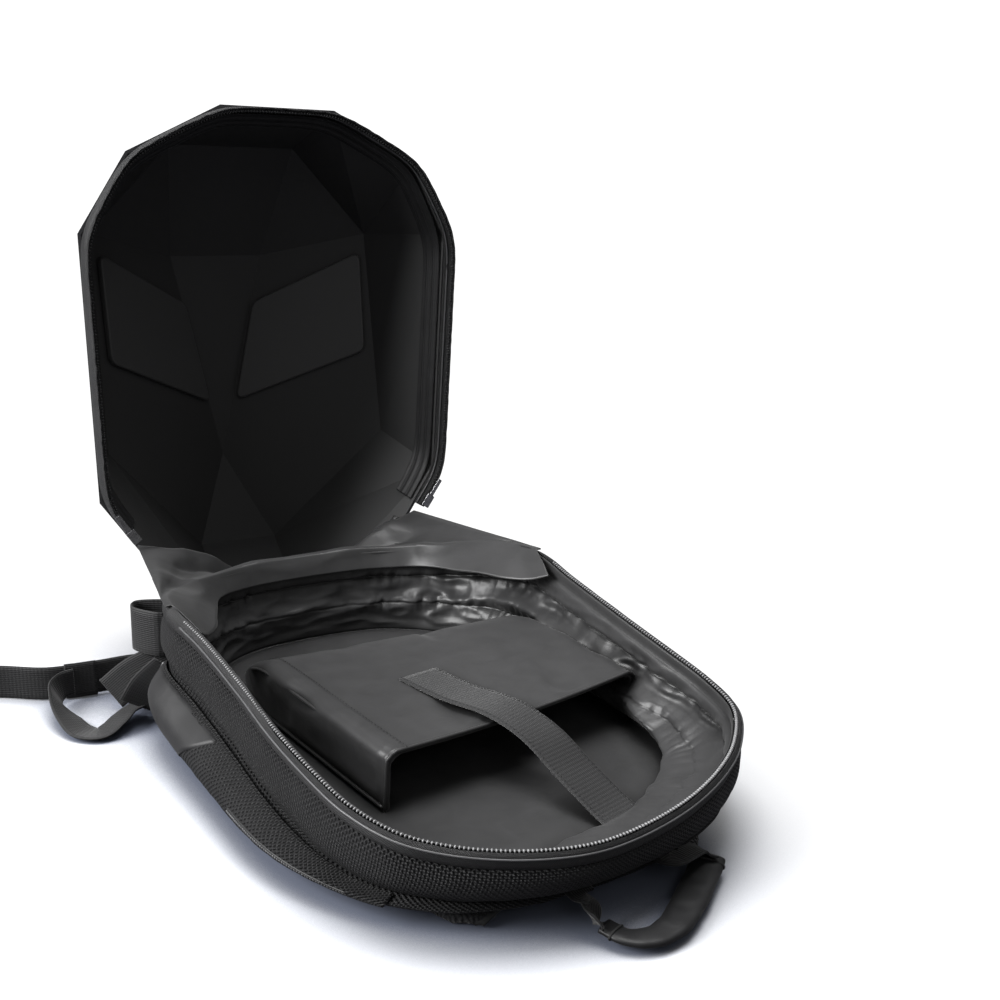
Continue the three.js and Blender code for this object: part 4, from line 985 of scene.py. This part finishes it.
# Floor tab.
# A folded corner of coated cloth, left over from the back panel's binding. It sticks out under the front
# left of the base and rests its tip on the floor.
tab_root, tab_tip = np.array([[-92, -166, 10.5], [-60, -189, 10.5]]), np.array([-80.5, -191.5, 1.2])


def floor_tab():
    rows = []
    for t in np.linspace(0, 1, 10):
        ends = tab_root * (1 - t) + tab_tip * t
        line = ends[0] + (ends[1] - ends[0]) * np.linspace(0, 1, 12)[:, None]
        line[:, 2] += 2.2 * np.sin(math.pi * t) * np.sin(math.pi * np.linspace(0, 1, 12))
        rows.append(line)
    return face_out(thickened(surface("floor_tab", rows[:-1]), 1.4, 0))


tab = fitted(floor_tab(), coated_cloth, "smooth_wrap")

# Lid shell.
# One moulding of satin black plastic, 2.5 mm thick, faceted like a cut stone. Its corners are softened, and
# the inside shows the raised backs of the two LED screens.
lid_half_width, lid_length, lid_depth, lid_setback = 164, 450, 160, 281
lid_frame = np.array([[-1.0, 0, 0], [0, 0, 1.0], [0, 1.0, 0]]).T


def in_lid(points):
    """Lid points as across, up and out from the rim, set upright behind the base."""
    return np.asarray(points, float) @ lid_frame.T + (0, lid_setback, gap)


def moulded(name, dark, light, roughness, specular, grain):
    """Plastic with a fine moulded grain, whose height is given in metres."""
    finish, tree, shader = new_finish(name, roughness, Specular_IOR_Level=specular)
    skin, flow = speckle(tree, 1300.0, 3.0), speckle(tree, 7.0)
    bump = add(tree, "ShaderNodeBump", {"Height": skin, "Strength": 0.35, "Distance": grain})
    rough = maths(tree, "MULTIPLY_ADD", flow, 0.14, roughness - 0.07)
    dress(tree, shader, tint(tree, flow, dark, light), bump, rough)
    return finish


shell_plastic = moulded("shell_plastic", (0.044, 0.044, 0.0443), (0.056, 0.056, 0.0563), 0.55, 0.26, 0.0001)


def painted_outside(finish, colour, roughness):
    """The moulding is painted outside only: where its surface faces away from the lid's hollow."""
    tree = finish.node_tree
    shader = tree.nodes["Principled BSDF"]
    faces = add(tree, "ShaderNodeNewGeometry").outputs
    middle = in_lid([[0, lid_length / 2, 20]])[0] / 1000
    ends = {0: faces["Position"], 1: middle}
    away = add(tree, "ShaderNodeVectorMath", ends, operation="SUBTRACT").outputs[0]
    both = {0: away, 1: faces["True Normal"]}
    out = add(tree, "ShaderNodeVectorMath", both, operation="DOT_PRODUCT").outputs["Value"]
    outside = maths(tree, "GREATER_THAN", out, 0.0)
    plain, dull = (shader.inputs[socket].links[0].from_socket for socket in ("Base Color", "Roughness"))
    tree.links.new(tint(tree, outside, plain, colour), shader.inputs["Base Color"])
    rough = add(tree, "ShaderNodeMix", {0: outside, 2: dull, 3: roughness}).outputs[0]
    tree.links.new(rough, shader.inputs["Roughness"])


painted_outside(shell_plastic, (0.06, 0.06, 0.063), 0.36)


def softened(name, node, width, segments):
    """The CAD piece with its flat faces joined up and its edges rounded."""
    piece = solid_copy(name, node, whole_faces=True)
    round_off = piece.modifiers.new("round", "BEVEL")
    round_off.width, round_off.segments, round_off.limit_method = width / 1000, segments, "ANGLE"
    round_off.angle_limit = math.radians(9)
    round_off.harden_normals = True
    return applied(piece)


fitted(softened("lid_moulding", "lid_shell", 0.9, 3), shell_plastic, "shell_plastic", "lid_shell")

# LED screens and their housings.
# Smoked acrylic windows set just under the shell's face, each with its circuit board in a plastic housing.
screen_gloss = plain_finish(
    "screen_gloss", 60.0, 4.0, (0.0015, 0.0015, 0.0018), (0.003, 0.003, 0.0034), 0.04,
    vary=0.05, Specular_IOR_Level=0.3,
)
housing_plastic = moulded(
    "housing_plastic", (0.07, 0.07, 0.0703), (0.085, 0.085, 0.0853), 0.42, 0.3, 0.00008
)
for word in ("left", "right"):
    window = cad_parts[f"led_screen_{word}"].data
    window.materials.clear()
    window.materials.append(screen_gloss)
    housing = softened(f"led_back_{word}", f"led_housing_{word}", 0.8, 3)
    fitted(housing, housing_plastic, "shell_plastic", f"led_housing_{word}")

# Lid's rim.
# The other half of the main zip runs round the lid on a gathered tape, with a shiny piping between tape
# and shell, and a ribbed facing, covered with coated cloth, glued inside the rim.
zip_reach, slant_top = 0.232, 0.304  # shares of the lid's length
# Corners of the lid's left half: across, up and out, as shares of its half width, length and depth.
rim_corners = {
    "jaw": (0.976, slant_top, 0.05), "temple": (1.0, 0.782, 0.05), "brow": (0.768, 0.918, 0),
    "crown": (0.3, 1.0, 0), "chin": (0.409, 0, 0),
}
rim_points = {k: np.array(v) * (lid_half_width, lid_length, lid_depth) for k, v in rim_corners.items()}
mirror = np.array([-1, 1, 1])


def on_slant(reach):
    """The rim's point between jaw and chin, at a share of the lid's length."""
    jaw, chin = rim_points["jaw"], rim_points["chin"]
    return jaw + (chin - jaw) * (slant_top - reach) / slant_top


def towards_middle(line):
    """Directions across the rim's plane from a line on the rim to the lid's middle."""
    return unit((np.array([0, lid_length / 2, 0]) - line) * (1, 1, 0))


def evenly(path, count):
    """Points at equal distances along a path."""
    lengths = np.concatenate([[0], np.cumsum(np.linalg.norm(np.diff(path, axis=0), axis=1))])
    marks = np.linspace(0, lengths[-1], count)
    return np.stack([np.interp(marks, lengths, path[:, a]) for a in range(3)], -1)


def relaxed(line, times):
    """The line with its corners rounded and its ends held."""
    for _ in range(times):
        line[1:-1] = (line[:-2] + 2 * line[1:-1] + line[2:]) / 4
    return line


def lid_rim(inset, count=420):
    """Points along the lid's zip, drawn in by inset, from its left end over the top to its right."""
    half = np.array([on_slant(zip_reach), *(rim_points[k] for k in ("jaw", "temple", "brow", "crown"))])
    path = np.vstack([half, (half * mirror)[::-1]])
    return relaxed(evenly(path + towards_middle(path) * inset, count), 90)


def lid_tape():
    """The tape's section goes round both faces; its free edge is gathered."""
    rows = []
    for inset, out, loose in (
        (0.5, -0.4, 0), (0.5, -4, 0.2), (0.6, -8, 0.35), (0.8, -12, 0.4),
        (2.2, -12, 1.0), (2.4, -8, 0.9), (2.2, -4, 0.4), (2.0, -0.4, 0),
    ):
        line = lid_rim(inset)
        line[:, 2] = np.where(out > -1, line[:, 2] + out, out)
        gather = wander(line * (1, 1, 0) + (0, 0, out), (6, 6, 14), 17)
        rows.append(in_lid(line + towards_middle(line) * (gather * loose)[:, None]))
    return face_out(surface("lid_tape", np.stack(rows, 1), ring=True, caps=True))


fitted(lid_tape(), tape_cloth, "webbing", "lid_zip_tape")
lid_line = lid_rim(4.0)
lid_line[:, 2] = -10.8
lid_coil = teeth("lid_coil", in_lid(lid_line), 2.5, (3.0, 1.5, 2.2), towards_middle(lid_line) @ lid_frame.T)
# The lid's coil takes the dark coated cloth, not the coil plastic: painted shade for a coil that lies in
# the lid's shadow.
fitted(lid_coil, coated_cloth, "zip_coil", "lid_zip_chain")
piping_line = lid_rim(3.4)
piping_line[:, 2] = np.minimum(piping_line[:, 2], 0) - 1.2
fitted(face_out(rod_along("lid_piping", in_lid(piping_line), 0.9)), trim_cloth, "smooth_wrap")


def rim_facing():
    """Three ribs and their web, on the inside of the shell's wall."""
    rows = []
    breadth = 18
    for depth in np.linspace(1.5, breadth, 34):
        rib = 1.2 * np.maximum(0, np.sin(depth / breadth * 3 * 2 * math.pi)) ** 2
        line = lid_rim(3.8 + 0.62 * depth + rib)
        line[:, 2] = line[:, 2] + depth
        rows.append(in_lid(line))
    return face_out(thickened(surface("rim_facing", np.stack(rows)), 0.5, 0))


fitted(rim_facing(), coated_cloth, "shell_plastic")

# Gusset.
# A bellows of the lining satin closes the hinge side: one edge is sewn along the lid's chin, the other
# lies folded over the base's rim, with its flap crumpled inside.
# Rows from either end to the middle, in millimetres. The free edge inside the bag: in from the rim,
# down, and forward. The ridge under the lid: up from the chin and ahead of it. Then the groove's depth.
gusset_rows = np.array(
    [
        [14, 10, 33, 0, 0, 0], [20, 15, 36, 17, 9, 1], [27, 15, 30, 33, 16, 4], [28, 13, 18, 49, 18, 9],
        [25, 13, 8, 61, 18, 10], [18, 13, 2, 73, 18, 9], [13, 14, 0, 76, 18, 8], [11, 15, 0, 62, 18, 8],
        [11, 15, 0, 52, 16, 8], [11, 15, 0, 47, 14, 8],
    ]
)
gusset_reach = 0.218


def chin_line(count):
    """Points along the lid's lower edge, 1 mm in from the rim, over the gusset's length."""
    end, chin = on_slant(gusset_reach), rim_points["chin"]
    path = np.array([end, chin, chin * mirror, end * mirror])
    return evenly(path + towards_middle(path), count)


def gusset_skin():
    steps = 2 * (len(gusset_rows) - 1)
    edge = chin_line(steps + 1)
    edge[:, 2] = -1.1
    edge = in_lid(edge)
    sections = []
    for i, end in enumerate(edge):
        tuck, down, forward, up, ahead, dip = gusset_rows[min(i, steps - i)]
        k = (8 - i) % ring_steps
        rim, out = at_step(rim_ring, k), at_step(outward, k)
        free = rim - out * tuck + (0, -forward, -down)
        inner = rim - out * 3.5 + (0, 0, 1.3)
        outer_edge = rim + out + (0, 0, 1.3)
        ridge = end + (0, -ahead, up)
        groove = outer_edge + (ridge - outer_edge) * 0.7 - (0, 0, dip)
        sections.append(
            [
                free, (free + inner) / 2 + (0, 0, tuck * 0.06), inner,
                outer_edge, (outer_edge + groove) / 2, groove,
                ridge, ridge + (end - ridge) * 0.35 + (0, 3 * min(1, ahead / 9), 0), end,
            ]
        )
    coarse = np.array(sections)
    rows, columns = 240, 70
    marks = np.linspace(0, coarse.shape[1] - 1, columns)
    corners = np.arange(coarse.shape[1])
    straight = [np.stack([np.interp(marks, corners, line[:, a]) for a in range(3)], -1) for line in coarse]
    dense = np.stack([0.4 * through(line, columns) + 0.6 * flat for line, flat in zip(coarse, straight)])
    grid = through(dense.reshape(len(dense), -1), rows).reshape(rows, columns, 3)
    t = np.linspace(0, 1, columns)[None]
    loose = np.clip(np.minimum(t * 6, (1 - t) * 6), 0, 1)
    from_end = np.minimum(np.arange(rows), rows - 1 - np.arange(rows))[:, None]
    middle_part = np.clip(from_end / 40, 0, 1)
    normal = unit(np.cross(np.gradient(grid, axis=0), np.gradient(grid, axis=1)))
    folds = 1.6 * (1 - 2.2 * np.abs(wander(grid, (80, 40, 20), 18))) + 0.5 * wander(grid, (30, 22, 12), 19)
    flap = np.clip((0.34 - t) * 8, 0, 1)
    folds = folds * loose * (0.06 + 0.94 * middle_part) * (1 - 0.3 * flap)
    return face_out(thickened(surface("gusset_skin", grid + normal * folds[..., None]), 1.1, 0))


gusset = fitted(gusset_skin(), satin, "satin_lining", "hinge_gusset")

# Gusset's welt.
# The gusset's upper edge is turned over a soft roll of the same satin, sewn along the lid's chin.
chin = chin_line(200)[8:-8]
chin = relaxed(in_lid(chin + towards_middle(chin) * 6.5 + (0, 0, 3.0)), 30)
welt_girth = 4.6 + 0.7 * wander(chin, 14, 21) + 0.4 * wander(chin, 5, 22)
welt = fitted(face_out(rod_along("gusset_welt", chin, welt_girth, 16)), satin, "satin_lining")

# Zip sliders.
# Die-cast sliders with a folded puller, parked at the two ends of the main zip.
slider_metal = plain_finish(
    "slider_metal", 260.0, 4.0, (0.25, 0.25, 0.26), (0.6, 0.6, 0.62), 0.15, vary=0.25, Metallic=1.0
)
for word in ("left", "right"):
    slider = softened(f"slider_{word}", f"zip_slider_{word}", 0.6, 3)
    fitted(slider, slider_metal, "slider_metal", f"zip_slider_{word}")
